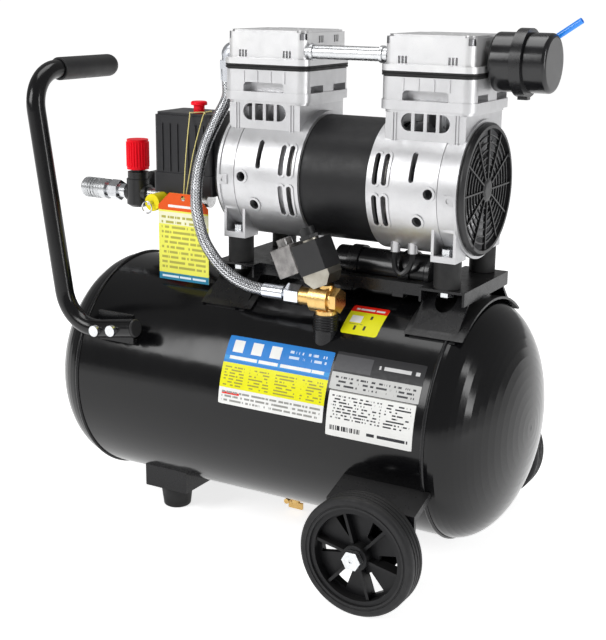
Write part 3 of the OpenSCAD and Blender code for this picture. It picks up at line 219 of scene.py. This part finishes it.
finishes = {
    "tank_paint": dict(color=(0.003, 0.003, 0.0035), tint=(0.0045, 0.0045, 0.005), patch=7, rough=(0.12, 0.18),
                       gloss=0.3, grains=((120, 0.05, None), (1500, 0.004, None))),
    "bracket_paint": dict(color=(0.005, 0.005, 0.006), tint=(0.010, 0.010, 0.011), rough=(0.2, 0.32), gloss=0.3,
                          grains=((300, 0.05, None), (1600, 0.008, None)), dust=0.12),
    "frame_paint": dict(color=(0.004, 0.004, 0.005), tint=(0.008, 0.008, 0.009), rough=(0.2, 0.32), gloss=0.3,
                        grains=((350, 0.04, None),), dust=0.12),
    "handle_paint": dict(color=(0.003, 0.003, 0.0035), tint=(0.005, 0.005, 0.0055), rough=(0.15, 0.22), gloss=0.34,
                         grains=((420, 0.025, None),)),
    "brass": dict(color=(0.74, 0.50, 0.20), tint=(0.60, 0.38, 0.13), patch=90, rough=(0.24, 0.4), metal=1.0,
                  grains=((900, 0.012, None), (3000, 0.006, None))),
    "rubber": dict(color=(0.009, 0.009, 0.010), tint=(0.018, 0.018, 0.018), rough=(0.5, 0.7), gloss=0.3,
                   grains=((1400, 0.02, None),), dust=0.2),
    "hub_plastic": dict(color=(0.006, 0.006, 0.007), tint=(0.010, 0.010, 0.011), rough=(0.36, 0.46), gloss=0.22,
                        grains=((2200, 0.012, None),), dust=0.15),
    "tyre_rubber": dict(color=(0.009, 0.009, 0.010), tint=(0.016, 0.016, 0.017), patch=30,
                        rough=(0.45, 0.62), gloss=0.3, grains=((1100, 0.03, None), (4000, 0.01, None)), dust=0.2),
    "zinc": dict(color=(0.70, 0.72, 0.74), tint=(0.56, 0.57, 0.58), patch=90, rough=(0.22, 0.36), metal=1.0,
                 grains=((1800, 0.006, None),)),
    "grip_rubber": dict(color=(0.012, 0.012, 0.013), tint=(0.020, 0.020, 0.020), rough=(0.42, 0.55), gloss=0.4,
                        grains=((1800, 0.025, None),)),
    "cast_alloy": dict(color=(0.52, 0.52, 0.53), tint=(0.60, 0.60, 0.61), patch=26, rough=(0.34, 0.46), metal=0.85,
                       grains=((1500, 0.04, None), (4200, 0.015, None)), speck=0.3),
    "cover_alloy": dict(color=(0.48, 0.48, 0.49), tint=(0.57, 0.57, 0.58), patch=26, rough=(0.34, 0.46), metal=0.85,
                        grains=((1500, 0.04, None), (4200, 0.015, None)), speck=0.3),
    "grille_plastic": dict(color=(0.007, 0.007, 0.008), tint=(0.012, 0.012, 0.013), rough=(0.3, 0.42), gloss=0.45,
                           grains=((2400, 0.012, None),)),
    "stator_steel": dict(color=(0.006, 0.006, 0.007), tint=(0.012, 0.012, 0.013), patch=22,
                         rough=(0.38, 0.48), gloss=0.3, grains=((1100, 0.10, (1, 0.001, 0.001)), (1500, 0.012, None))),
    "copper": dict(color=(0.20, 0.19, 0.18), tint=(0.05, 0.05, 0.05), patch=160, rough=(0.3, 0.45), metal=0.6,
                   grains=((700, 0.5, (0.1, 1, 1)),)),
    "bearing_steel": dict(color=(0.55, 0.56, 0.58), rough=(0.2, 0.32), metal=1.0, grains=((2500, 0.004, None),)),
    "shaft_steel": dict(color=(0.46, 0.47, 0.48), tint=(0.36, 0.36, 0.37), rough=(0.22, 0.4), metal=1.0,
                        grains=((2500, 0.006, (1, 0.02, 0.02)),)),
    "rotor_steel": dict(color=(0.42, 0.43, 0.44), rough=(0.3, 0.45), metal=1.0,
                        grains=((1200, 0.05, (1, 0.001, 0.001)),)),
    "fan_plastic": dict(color=(0.16, 0.16, 0.165), tint=(0.26, 0.26, 0.265), rough=(0.25, 0.4), metal=0.7,
                        grains=((1600, 0.015, None),)),
    "piston_alloy": dict(color=(0.62, 0.63, 0.65), rough=(0.25, 0.4), metal=0.9, grains=((2200, 0.01, None),)),
    "block_alloy": dict(color=(0.56, 0.56, 0.57), tint=(0.66, 0.66, 0.67), patch=24, rough=(0.34, 0.46), metal=0.82,
                        grains=((1400, 0.04, None), (4200, 0.015, None)), speck=0.25),
    "valve_plate": dict(color=(0.008, 0.008, 0.009), tint=(0.014, 0.014, 0.014), rough=(0.4, 0.6), gloss=0.3,
                        grains=((1500, 0.02, None),)),
    "head_alloy": dict(color=(0.66, 0.66, 0.67), tint=(0.74, 0.74, 0.74), patch=22, rough=(0.34, 0.46), metal=0.78,
                       grains=((1300, 0.04, None), (4000, 0.015, None)), speck=0.2),
    "screw_steel": dict(color=(0.30, 0.30, 0.31), tint=(0.20, 0.20, 0.21), patch=90, rough=(0.25, 0.4), metal=1.0,
                        grains=((2000, 0.01, None),)),
    "tube_alloy": dict(color=(0.62, 0.63, 0.64), tint=(0.54, 0.55, 0.56), patch=40, rough=(0.24, 0.34), metal=1.0,
                       grains=((2200, 0.004, None),)),
    "filter_plastic": dict(color=(0.004, 0.004, 0.005), tint=(0.007, 0.007, 0.008), rough=(0.16, 0.24), gloss=0.5,
                           grains=((350, 0.02, None), (2400, 0.005, None))),
    "filter_clip": dict(color=(0.006, 0.006, 0.007), tint=(0.010, 0.010, 0.011), rough=(0.2, 0.32), gloss=0.45,
                        grains=((1800, 0.012, None),)),
    "filter_felt": dict(color=(0.62, 0.58, 0.46), tint=(0.70, 0.66, 0.54), rough=(0.8, 0.95), sheen=0.3,
                        grains=((900, 0.3, None),)),
    "blue_tube": dict(color=(0.01, 0.22, 0.85), tint=(0.02, 0.30, 0.95), rough=(0.2, 0.3), coat=0.2,
                      grains=((900, 0.01, None),)),
    "capacitor_case": dict(color=(0.004, 0.004, 0.005), tint=(0.007, 0.007, 0.008), rough=(0.18, 0.26), gloss=0.4,
                           grains=((200, 0.04, None),), dust=0.1),
    "cable_rubber": dict(color=(0.008, 0.008, 0.009), tint=(0.013, 0.013, 0.014), rough=(0.3, 0.42), gloss=0.4,
                         grains=((1200, 0.02, None),)),
    "steel_braid": dict(color=(0.70, 0.71, 0.73), tint=(0.5, 0.51, 0.53), patch=80, rough=(0.2, 0.34), metal=1.0,
                        grains=((2600, 0.01, None),)),
    "hose_zinc": dict(color=(0.72, 0.74, 0.78), tint=(0.60, 0.62, 0.66), patch=80, rough=(0.14, 0.26), metal=1.0,
                      grains=((1600, 0.006, None),)),
    "coil_plastic": dict(color=(0.010, 0.010, 0.011), tint=(0.017, 0.017, 0.018), rough=(0.36, 0.5), gloss=0.4,
                         grains=((1800, 0.02, None),)),
    "yoke_steel": dict(color=(0.40, 0.38, 0.33), tint=(0.28, 0.26, 0.22), patch=60, rough=(0.26, 0.4), metal=1.0,
                       grains=((1500, 0.01, None),)),
    "clear_plastic": dict(color=(0.10, 0.095, 0.09), tint=(0.36, 0.34, 0.33), patch=110,
                          rough=(0.08, 0.16), clear=0.25, coat=0.6, grains=((700, 0.03, None),), speck=0.5),
    "nickel": dict(color=(0.60, 0.60, 0.60), tint=(0.5, 0.5, 0.5), patch=60, rough=(0.18, 0.32), metal=1.0,
                   grains=((1500, 0.008, None),)),
    "switch_plastic": dict(color=(0.010, 0.010, 0.012), tint=(0.017, 0.017, 0.020), rough=(0.3, 0.42), gloss=0.45,
                           grains=((1900, 0.02, None),)),
    "red_button": dict(color=(0.92, 0.002, 0.014), tint=(0.96, 0.004, 0.02), rough=(0.3, 0.4), gloss=0.2,
                       grains=((1500, 0.01, None),)),
    "regulator_black": dict(color=(0.008, 0.008, 0.009), tint=(0.014, 0.014, 0.015), rough=(0.3, 0.42), gloss=0.45,
                            grains=((1800, 0.015, None),)),
    "red_knob": dict(color=(0.95, 0.001, 0.012), tint=(0.98, 0.003, 0.02), rough=(0.32, 0.44), gloss=0.15,
                     grains=((1600, 0.015, None),)),
    "gauge_case": dict(color=(0.012, 0.012, 0.013), rough=(0.25, 0.35), grains=((1800, 0.01, None),)),
    "coupler_steel": dict(color=(0.66, 0.67, 0.69), tint=(0.54, 0.55, 0.57), patch=80, rough=(0.16, 0.3), metal=1.0,
                          grains=((2200, 0.006, (1, 0.02, 0.02)),)),
    "sleeve_steel": dict(color=(0.62, 0.63, 0.64), tint=(0.48, 0.49, 0.5), patch=90, rough=(0.2, 0.34), metal=1.0,
                         grains=((2200, 0.008, None),)),
    "yellow_cap": dict(color=(0.88, 0.72, 0.004), tint=(0.94, 0.80, 0.01), rough=(0.28, 0.4), gloss=0.3,
                       grains=((1500, 0.012, None),)),
    "ring_steel": dict(color=(0.66, 0.67, 0.69), rough=(0.12, 0.22), metal=1.0, grains=((2200, 0.004, None),)),
    "string": dict(color=(0.78, 0.66, 0.20), tint=(0.86, 0.76, 0.32), rough=(0.7, 0.9), sheen=0.3,
                   grains=((2600, 0.1, None),)),
}


# One inside the area (left, top, right, bottom), nought outside; v runs down the print
def windowMask(tree, u, v, area):
    left, top, right, bottom = area
    mask = calc(tree, "GREATER_THAN", u, left)
    for operation, value, edge in (("LESS_THAN", u, right), ("GREATER_THAN", v, top), ("LESS_THAN", v, bottom)):
        mask = calc(tree, "MULTIPLY", mask, calc(tree, operation, value, edge))
    return mask


# Rows of short bars: words bars to the whole width, and fill is the inked share of a row
def barRows(tree, u, v, area, rows, words, fill):
    halfBar, rowShift = 0.24, 7.3
    left, top, right, bottom = area
    line = calc(tree, "MULTIPLY", calc(tree, "SUBTRACT", v, top), rows / (bottom - top))
    fromMiddle = calc(tree, "ABSOLUTE", calc(tree, "SUBTRACT", calc(tree, "FRACT", line), 0.5))
    inLine = calc(tree, "LESS_THAN", fromMiddle, halfBar)
    rowPlace = calc(tree, "MULTIPLY", calc(tree, "FLOOR", line), rowShift)
    step = addNode(tree, "CombineXYZ", {0: calc(tree, "MULTIPLY", u, words), 1: rowPlace})
    inWord = calc(tree, "GREATER_THAN", noise(tree, step.outputs[0], 1.0, 1.0), 1 - fill)
    return calc(tree, "MULTIPLY", calc(tree, "MULTIPLY", inLine, inWord), windowMask(tree, u, v, area))


# A printed sheet with plain bands, blocks and rows of bars, and no lettering.
# blocks are (left, top, right, bottom, colour); texts add rows, words and fill before the colour
def makePrint(name, ground, blocks, texts, rough=0.3, gloss=0.22, place=None):
    material, tree, shader = newGraph(name)
    if place:
        u, v = place(tree)
    else:
        split = addNode(tree, "SeparateXYZ", {0: addNode(tree, "TexCoord", {}).outputs["UV"]})
        u, v = split.outputs[0], calc(tree, "SUBTRACT", 1.0, split.outputs[1])
    color = rgba(ground)
    for left, top, right, bottom, tone in blocks:
        color = mixColor(tree, windowMask(tree, u, v, (left, top, right, bottom)), color, rgba(tone))
    for left, top, right, bottom, rows, words, fill, tone in texts:
        mask = barRows(tree, u, v, (left, top, right, bottom), rows, words, fill)
        color = mixColor(tree, mask, color, rgba(tone))
    faded = remap(tree, noise(tree, objectPlace(tree), 60, 3), 0.3, 0.7, 0.94, 1.0)
    shade = addNode(tree, "CombineColor", {0: faded, 1: faded, 2: faded}).outputs[0]
    feed(tree, shader.inputs["Base Color"], mixColor(tree, 1.0, color, shade, "MULTIPLY"))
    smears = noise(tree, objectPlace(tree), 300, 2)
    feed(tree, shader.inputs["Roughness"], remap(tree, smears, 0.3, 0.7, rough, rough + 0.12))
    shader.inputs["Specular IOR Level"].default_value = gloss
    ripple = noise(tree, objectPlace(tree), 500, 2)
    bump = addNode(tree, "Bump", {"Height": ripple, "Distance": 0.02 * mm, "Strength": 1.0})
    tree.links.new(bump.outputs[0], shader.inputs["Normal"])
    return material


# smooth is the sharpest fold, in degrees, that is still shaded round
def addPiece(name, mesh, material, body="root", replaces=(), smooth=35):
    mesh.materials.clear()
    mesh.materials.append(material)
    piece = bpy.data.objects.new(name, mesh)
    bpy.context.scene.collection.objects.link(piece)
    if smooth:
        mesh.shade_smooth()
        mesh.set_sharp_from_angle(angle=math.radians(smooth))
    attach(piece, body)
    if replaces:
        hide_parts(*replaces)
    return piece


def bakeModifiers(piece):
    graph = bpy.context.evaluated_depsgraph_get()
    mesh = bpy.data.meshes.new_from_object(piece.evaluated_get(graph))
    piece.modifiers.clear()
    return mesh


# A copy of a CAD node with merged points and its edges rounded off, with width in millimetres.
# merge rejoins flat faces, which suits every node but those with many holes in one face
def softenNode(node, width, merge=True, angle=30):
    mesh = cadNodes[node].data.copy()
    shape = bmesh.new()
    shape.from_mesh(mesh)
    bmesh.ops.remove_doubles(shape, verts=shape.verts, dist=0.002 * mm)
    if merge:
        flat = math.radians(0.1)
        bmesh.ops.dissolve_limit(shape, angle_limit=flat, verts=shape.verts, edges=shape.edges)
    shape.to_mesh(mesh)
    shape.free()
    holder = bpy.data.objects.new(node + "Soft", mesh)
    bpy.context.scene.collection.objects.link(holder)
    bevel = holder.modifiers.new("round", "BEVEL")
    bevel.width = width * mm
    bevel.segments = 2
    bevel.limit_method = "ANGLE"
    bevel.angle_limit = math.radians(angle)
    bevel.use_clamp_overlap = True
    bevel.miter_outer = "MITER_ARC"
    for face in mesh.polygons:
        face.use_smooth = True
    weights = holder.modifiers.new("shade", "WEIGHTED_NORMAL")
    weights.mode = "FACE_AREA_WITH_ANGLE"
    weights.weight = 80
    rounded = bakeModifiers(holder)
    bpy.data.objects.remove(holder)
    slot = slotOf[node]
    return addPiece(node + "Soft", rounded, materials[slot], bodyOf[node], [node], smooth=0)


# A smooth line through every point
def smoothRoute(points, steps):
    points = [Vector(p) for p in points]
    line = []
    for i in range(len(points) - 1):
        a, b = points[max(i - 1, 0)], points[i]
        c, d = points[i + 1], points[min(i + 2, len(points) - 1)]
        for k in range(steps):
            t = k / steps
            line.append(0.5 * (2 * b + (c - a) * t + (2 * a - 5 * b + 4 * c - d) * t * t
                               + (3 * b - a - 3 * c + d) * t ** 3))
    line.append(points[-1])
    return line


# The same line in steps of one length
def evenRoute(points, step):
    fine = smoothRoute(points, 40)
    line, left = [fine[0]], step
    for a, b in zip(fine, fine[1:]):
        length, done = (b - a).length, 0.0
        while length - done >= left:
            done += left
            line.append(a.lerp(b, done / length))
            left = step
        left -= length - done
    line.append(fine[-1])
    return line


# Frames carried along a line without twisting: (point, side, up, distance)
def carriedFrames(line):
    frames = []
    side = None
    gone = 0.0
    for i, point in enumerate(line):
        heading = (line[min(i + 1, len(line) - 1)] - line[max(i - 1, 0)]).normalized()
        if side is None:
            side = heading.orthogonal().normalized()
        side = (side - heading * side.dot(heading)).normalized()
        gone += (point - line[max(i - 1, 0)]).length
        frames.append((point, side, heading.cross(side), gone))
    return frames


def tubeMesh(name, line, radius, sides=20):
    frames = carriedFrames(line)
    verts = []
    for point, side, up, _ in frames:
        for k in range(sides):
            a = 2 * math.pi * k / sides
            verts.append(point + radius * (math.cos(a) * side + math.sin(a) * up))
    faces = [list(range(sides))[::-1], [(len(frames) - 1) * sides + k for k in range(sides)]]
    for i in range(len(frames) - 1):
        for k in range(sides):
            a, b = i * sides + k, i * sides + (k + 1) % sides
            faces.append([a, b, b + sides, a + sides])
    mesh = bpy.data.meshes.new(name)
    mesh.from_pydata([tuple(v) for v in verts], [], faces)
    return mesh


def facesOut(mesh):
    shape = bmesh.new()
    shape.from_mesh(mesh)
    bmesh.ops.recalc_face_normals(shape, faces=shape.faces)
    shape.to_mesh(mesh)
    shape.free()


# Two sets of flat strands wound opposite ways, each passing over and under the other
def braidMesh(name, line, radius, strands, pitch, width):
    frames = carriedFrames(line)
    verts, faces = [], []
    lift = 0.4 * mm
    thin, thick = 0.14 * mm, 0.45 * mm
    for way in (1, -1):
        for s in range(strands):
            start = len(verts)
            for point, side, up, gone in frames:
                turn = 2 * math.pi * (way * gone / pitch + s / strands)
                wave = way * math.cos(2 * math.pi * strands * gone / pitch)
                reach = radius - lift + lift * wave
                for offset, drop in ((-0.5, thin), (0, 0), (0.5, thin)):
                    a = turn + offset * width / radius
                    verts.append(point + (reach - drop) * (math.cos(a) * side + math.sin(a) * up))
                verts.append(point + (reach - thick) * (math.cos(turn) * side + math.sin(turn) * up))
            for i in range(len(frames) - 1):
                a = start + 4 * i
                for j, k in ((0, 1), (1, 2), (2, 3), (3, 0)):
                    faces.append([a + j, a + k, a + 4 + k, a + 4 + j])
            last = start + 4 * (len(frames) - 1)
            faces.append([start + 3, start + 2, start + 1, start])
            faces.append([last, last + 1, last + 2, last + 3])
    mesh = bpy.data.meshes.new(name)
    mesh.from_pydata([tuple(v) for v in verts], [], faces)
    facesOut(mesh)
    return mesh


def newTree(name, inputs):
    tree = bpy.data.node_groups.new(name, "GeometryNodeTree")
    tree.interface.new_socket("Geometry", in_out="OUTPUT", socket_type="NodeSocketGeometry")
    for label, kind in inputs:
        tree.interface.new_socket(label, in_out="INPUT", socket_type="NodeSocket" + kind)
    return tree, tree.nodes.new("NodeGroupInput"), tree.nodes.new("NodeGroupOutput")


def geoNode(tree, kind, inputs, **settings):
    made = tree.nodes.new("GeometryNode" + kind)
    for key, value in settings.items():
        setattr(made, key, value)
    for key, value in inputs.items():
        feed(tree, made.inputs[key], value)
    return made


# Every tree ends here: real geometry, put in place and given its material
def closeTree(tree, given, output, instances):
    real = geoNode(tree, "RealizeInstances", {0: instances})
    placed = geoNode(tree, "Transform", {"Geometry": real.outputs[0], "Translation": given.outputs["Place"],
                                         "Rotation": given.outputs["Turn"]})
    painted = geoNode(tree, "SetMaterial", {0: placed.outputs[0], "Material": given.outputs["Material"]})
    tree.links.new(painted.outputs[0], output.inputs[0])
    return tree


# Bars spaced evenly round a circle, each one standing along the circle's axis
def barRingTree():
    tree, given, output = newTree("barRing", [("Count", "Int"), ("Radius", "Float"), ("Bar", "Vector"),
                                              ("Place", "Vector"), ("Turn", "Vector"), ("Material", "Material")])
    circle = geoNode(tree, "MeshCircle", {"Vertices": given.outputs["Count"], "Radius": given.outputs["Radius"]})
    bar = geoNode(tree, "MeshCube", {"Size": given.outputs["Bar"]})
    outward = tree.nodes.new("FunctionNodeAlignEulerToVector")
    outward.axis = "X"
    position = tree.nodes.new("GeometryNodeInputPosition")
    tree.links.new(position.outputs[0], outward.inputs["Vector"])
    spread = geoNode(tree, "InstanceOnPoints", {"Points": circle.outputs[0], "Instance": bar.outputs[0],
                                                "Rotation": outward.outputs[0]})
    return closeTree(tree, given, output, spread.outputs[0])


# Round rings stacked along an axis, like a thread, a crimp or a pile of sheets
def ringStackTree():
    tree, given, output = newTree("ringStack", [("Count", "Int"), ("Pitch", "Float"), ("Radius", "Float"),
                                                ("Wire", "Float"), ("Place", "Vector"), ("Turn", "Vector"),
                                                ("Material", "Material")])
    step = tree.nodes.new("ShaderNodeCombineXYZ")
    tree.links.new(given.outputs["Pitch"], step.inputs[2])
    line = geoNode(tree, "MeshLine", {"Count": given.outputs["Count"], "Offset": step.outputs[0]})
    path = geoNode(tree, "CurvePrimitiveCircle", {"Resolution": 72, "Radius": given.outputs["Radius"]})
    wire = geoNode(tree, "CurvePrimitiveCircle", {"Resolution": 10, "Radius": given.outputs["Wire"]})
    ring = geoNode(tree, "CurveToMesh", {0: path.outputs[0], 1: wire.outputs[0]})
    spread = geoNode(tree, "InstanceOnPoints", {"Points": line.outputs[0], "Instance": ring.outputs[0]})
    return closeTree(tree, given, output, spread.outputs[0])


# Runs a tree on an empty mesh and keeps the result as a plain piece
def grow(name, tree, values, body="root", smooth=30):
    seedMesh = bpy.data.meshes.new(name)
    holder = bpy.data.objects.new(name + "Seed", seedMesh)
    bpy.context.scene.collection.objects.link(holder)
    modifier = holder.modifiers.new("grow", "NODES")
    modifier.node_group = tree
    for item in tree.interface.items_tree:
        if item.in_out == "INPUT" and item.name in values:
            modifier[item.identifier] = values[item.name]
    mesh = bakeModifiers(holder)
    bpy.data.objects.remove(holder)
    facesOut(mesh)
    return addPiece(name, mesh, values["Material"], body, smooth=smooth)


def makeMaterials():
    made = {}
    for name, settings in finishes.items():
        made[name] = makeFinish(name, **settings)
    made["tag_card"] = tagPrint()
    print("materials:", len(made))
    return made


# The tag's print runs down its height: a red head, pale rows, a blue foot
def tagPrint():
    low, high, mid = boxOf("hang_tag")

    def place(tree):
        split = addNode(tree, "SeparateXYZ", {0: objectPlace(tree)})
        u = remap(tree, split.outputs[0], low.x, high.x)
        return u, remap(tree, split.outputs[2], high.z, low.z)

    return makePrint("tag_card", (0.86, 0.85, 0.12),
                     [(0, 0.22, 1, 0.36, (0.88, 0.87, 0.62)), (0, 0, 1, 0.2, (0.80, 0.10, 0.01)),
                      (0, 0.92, 1, 1, (0.02, 0.22, 0.36))],
                     [(0.06, 0.25, 0.94, 0.88, 11, 14, 0.55, (0.45, 0.43, 0.08)),
                      (0.2, 0.12, 0.85, 0.18, 1, 9, 0.7, (0.9, 0.88, 0.85)),
                      (0.06, 0.935, 0.94, 0.985, 1, 16, 0.62, (0.75, 0.85, 0.9))], 0.35, 0.2, place)


# A sticker wrapped on the receiver, with round corners and a printed face
# (x0 to x1 along the receiver in millimetres, a0 to a1 round it in degrees from the top)
def wrapSticker(name, x0, x1, a0, a1, corner, material, cells=28):
    lift, thick = 0.12 * mm, 0.16 * mm
    halfX, halfS = (x1 - x0) / 2, math.radians(a1 - a0) / 2 * tankRadius / mm
    verts, faces, uvs = [], [], []
    for inner in (0, 1):
        for j in range(cells + 1):
            for i in range(cells + 1):
                x, s = (2 * i / cells - 1) * halfX, (2 * j / cells - 1) * halfS
                dx, ds = max(0, abs(x) - (halfX - corner)), max(0, abs(s) - (halfS - corner))
                if dx > 0 and ds > 0:
                    fx = dx * math.sqrt(1 - ds * ds / (2 * corner * corner))
                    fs = ds * math.sqrt(1 - dx * dx / (2 * corner * corner))
                    x = math.copysign(halfX - corner + fx, x)
                    s = math.copysign(halfS - corner + fs, s)
                angle = math.radians((a0 + a1) / 2) + s * mm / tankRadius
                r = tankRadius + lift + (0 if inner else thick)
                verts.append((((x0 + x1) / 2 + x) * mm, -r * math.sin(angle), tankMid.z + r * math.cos(angle)))
                uvs.append((0.5 + x / halfX / 2, 0.5 - s / halfS / 2))
    row = cells + 1
    layer = row * row
    for j in range(cells):
        for i in range(cells):
            a = j * row + i
            faces.append((a, a + row, a + row + 1, a + 1))
            faces.append((layer + a, layer + a + 1, layer + a + row + 1, layer + a + row))
    rim = ([i for i in range(cells)] + [cells + row * j for j in range(cells)]
           + [layer - 1 - i for i in range(cells)] + [row * (cells - j) for j in range(cells)])
    for k, a in enumerate(rim):
        b = rim[(k + 1) % len(rim)]
        faces.append((a, b, layer + b, layer + a))
    mesh = bpy.data.meshes.new(name)
    mesh.from_pydata(verts, [], faces)
    facesOut(mesh)
    coat = mesh.uv_layers.new(name="print")
    for loop in mesh.loops:
        coat.data[loop.index].uv = uvs[loop.vertex_index]
    return addPiece(name, mesh, material)


def makeStickers():
    white, grey, ink = (0.82, 0.82, 0.80), (0.30, 0.30, 0.28), (0.03, 0.03, 0.035)
    sky, olive = (0.6, 0.7, 0.85), (0.35, 0.32, 0.05)
    blue, yellow, red = (0.01, 0.20, 0.60), (0.80, 0.78, 0.008), (0.80, 0.015, 0.005)
    service = makePrint("servicePrint", white,
                        [(0, 0, 1, 0.40, blue), (0, 0.30, 1, 0.36, (0.03, 0.30, 0.68)), (0, 0.40, 1, 0.76, yellow),
                         (0.06, 0.06, 0.16, 0.24, white), (0.24, 0.06, 0.34, 0.24, white),
                         (0.42, 0.06, 0.52, 0.24, white)],
                        [(0.05, 0.27, 0.95, 0.37, 1, 20, 0.62, white), (0.60, 0.06, 0.95, 0.22, 2, 22, 0.5, sky),
                         (0.03, 0.44, 0.22, 0.74, 7, 22, 0.55, olive), (0.27, 0.44, 0.47, 0.74, 7, 22, 0.5, olive),
                         (0.52, 0.44, 0.72, 0.74, 7, 22, 0.55, olive), (0.77, 0.44, 0.97, 0.74, 7, 22, 0.5, olive),
                         (0.03, 0.80, 0.20, 0.87, 1, 14, 0.7, red), (0.03, 0.79, 0.97, 0.97, 3, 34, 0.56, grey)])
    wrapSticker("serviceSticker", -22, 101, 52, 85, 1.0, service)
    badge = makePrint("badgePrint", (0.03, 0.03, 0.032),
                      [(0, 0, 1, 0.55, (0.02, 0.02, 0.022)), (0, 0.08, 0.42, 0.5, (0.07, 0.07, 0.075)),
                       (0, 0.55, 1, 1, (0.55, 0.55, 0.54))],
                      [(0.5, 0.16, 0.95, 0.36, 1, 12, 0.6, (0.6, 0.6, 0.6)),
                       (0.05, 0.62, 0.95, 0.94, 3, 24, 0.5, ink)])
    wrapSticker("badgeSticker", 103.5, 200, 51, 68.6, 1.0, badge)
    data = makePrint("dataPrint", white,
                     [(0.04, 0.70, 0.40, 0.90, white), (0, 0.0, 1, 0.02, grey)],
                     [(0.04, 0.08, 0.62, 0.62, 8, 30, 0.5, ink), (0.66, 0.08, 0.96, 0.62, 8, 16, 0.5, ink),
                      (0.04, 0.70, 0.40, 0.92, 1, 60, 0.52, ink), (0.48, 0.76, 0.95, 0.9, 1, 18, 0.6, ink)])
    wrapSticker("dataSticker", 105, 198.5, 68.9, 89.7, 1.0, data)
    caution = makePrint("cautionPrint", yellow,
                        [(0, 0, 1, 0.24, red), (0.12, 0.38, 0.42, 0.62, (0.92, 0.92, 0.88)),
                         (0.62, 0.34, 0.68, 0.46, ink), (0.30, 0.72, 0.36, 0.86, ink), (0.56, 0.70, 0.62, 0.84, ink)],
                        [(0.12, 0.06, 0.9, 0.2, 1, 10, 0.6, white),
                         (0.12, 0.64, 0.5, 0.70, 1, 16, 0.6, (0.4, 0.36, 0.03))])
    wrapSticker("cautionSticker", 96.4, 137, 23.7, 41.5, 3.0, caution)
    print("stickers on the receiver: 4")


# The route is the frame's own hose, point for point, in millimetres
def makeHose():
    hose = {"radius": 6.5, "core": 5.5, "sides": 24, "strands": 12, "pitch": 40, "ribbon": 1.9, "step": 0.55}
    route = [(-76, -21, 484), (-76, -22, 466), (-80, -36, 444), (-86, -49, 418), (-88, -61, 388), (-84, -70, 356),
             (-73, -75, 326), (-59, -79, 309), (-43, -82, 296), (-26, -84.5, 287.5), (-8, -85, 282),
             (9, -83.64, 279.9)]
    line = evenRoute([Vector(p) * mm for p in route], hose["step"] * mm)
    core = tubeMesh("hoseCore", line[::4], hose["core"] * mm, hose["sides"])
    addPiece("hoseCore", core, materials["cable_rubber"], replaces=["delivery_hose"])
    braid = braidMesh("hoseBraid", line, hose["radius"] * mm, hose["strands"], hose["pitch"] * mm,
                      hose["ribbon"] * mm)
    addPiece("hoseBraid", braid, materials["steel_braid"], smooth=50)
    print("braid strands:", 2 * hose["strands"])


def makeSoftCopies():
    widths = {"tank_weldments": 0.6, "mount_frame": 0.5, "motor_case_left": 0.6, "motor_case_right": 0.6,
              "end_cover_left": 0.6, "end_cover_right": 0.6, "cylinder_block_left": 0.8, "cylinder_block_right": 0.8,
              "cylinder_head_left": 0.5, "cylinder_head_right": 0.5, "valve_plates": 0.3, "switch_cover": 0.8,
              "unloader_coil": 0.8, "unloader_yoke": 0.5, "unloader_plug": 1.2, "fasteners": 0.5,
              "hose_fittings": 0.5, "check_valve": 0.6, "coupler_body": 0.5, "manifold": 0.5, "fan_grilles": 0.3,
              "wheel_hub_front": 0.6, "wheel_hub_back": 0.6, "drain_valve": 0.4, "drain_knob": 0.5,
              "regulator_body": 0.6, "relief_valve": 0.5, "rubber_feet": 0.6, "rubber_mounts": 0.8,
              "handle_grip": 0.6, "head_screws": 0.4, "capacitor": 0.8, "switch_button": 0.6}
    manyHoles = ("cylinder_head_left", "cylinder_head_right", "fan_grilles", "switch_cover")
    for node, width in widths.items():
        softenNode(node, width, node not in manyHoles)
    print("rounded copies:", len(widths))


def paintFrame():
    for name, node in cadNodes.items():
        node.data.materials.clear()
        node.data.materials.append(materials[slotOf[name]])
    print("painted nodes:", len(cadNodes))


def makeThreads():
    thread = {"rings": 6, "pitch": 2.6, "radius": 12, "wire": 0.9, "x": 81, "up": 95.5}  # above the tank's axis
    low, high, mid = boxOf("check_valve")
    grow("socketThread", ringStackTree(),
         {"Count": thread["rings"], "Pitch": thread["pitch"] * mm, "Radius": thread["radius"] * mm,
          "Wire": thread["wire"] * mm, "Place": (thread["x"] * mm, mid.y, tankMid.z + thread["up"] * mm),
          "Turn": (0, 0, 0), "Material": materials["bracket_paint"]})
    print("thread rings on the valve's socket:", thread["rings"])


def makeKnurls():
    knurl = {"rings": 4, "first": 4, "apart": 6, "bars": 40, "radius": 11.45, "bar": (0.7, 0.7, 4.5)}
    ring = barRingTree()
    low, high, mid = boxOf("coupler_sleeve")
    for k in range(knurl["rings"]):
        x = low.x + (knurl["first"] + knurl["apart"] * k) * mm
        grow("sleeveKnurl%d" % (k + 1), ring,
             {"Count": knurl["bars"], "Radius": knurl["radius"] * mm, "Bar": [side * mm for side in knurl["bar"]],
              "Place": (x, mid.y, mid.z), "Turn": (0, math.radians(90), 0), "Material": materials["sleeve_steel"]},
             "coupler_sleeve")
    print("knurled rings on the coupler:", knurl["rings"])


addCamera()
addStudio()
materials = makeMaterials()
paintFrame()
makeSoftCopies()
makeHose()
makeStickers()
makeThreads()
makeKnurls()
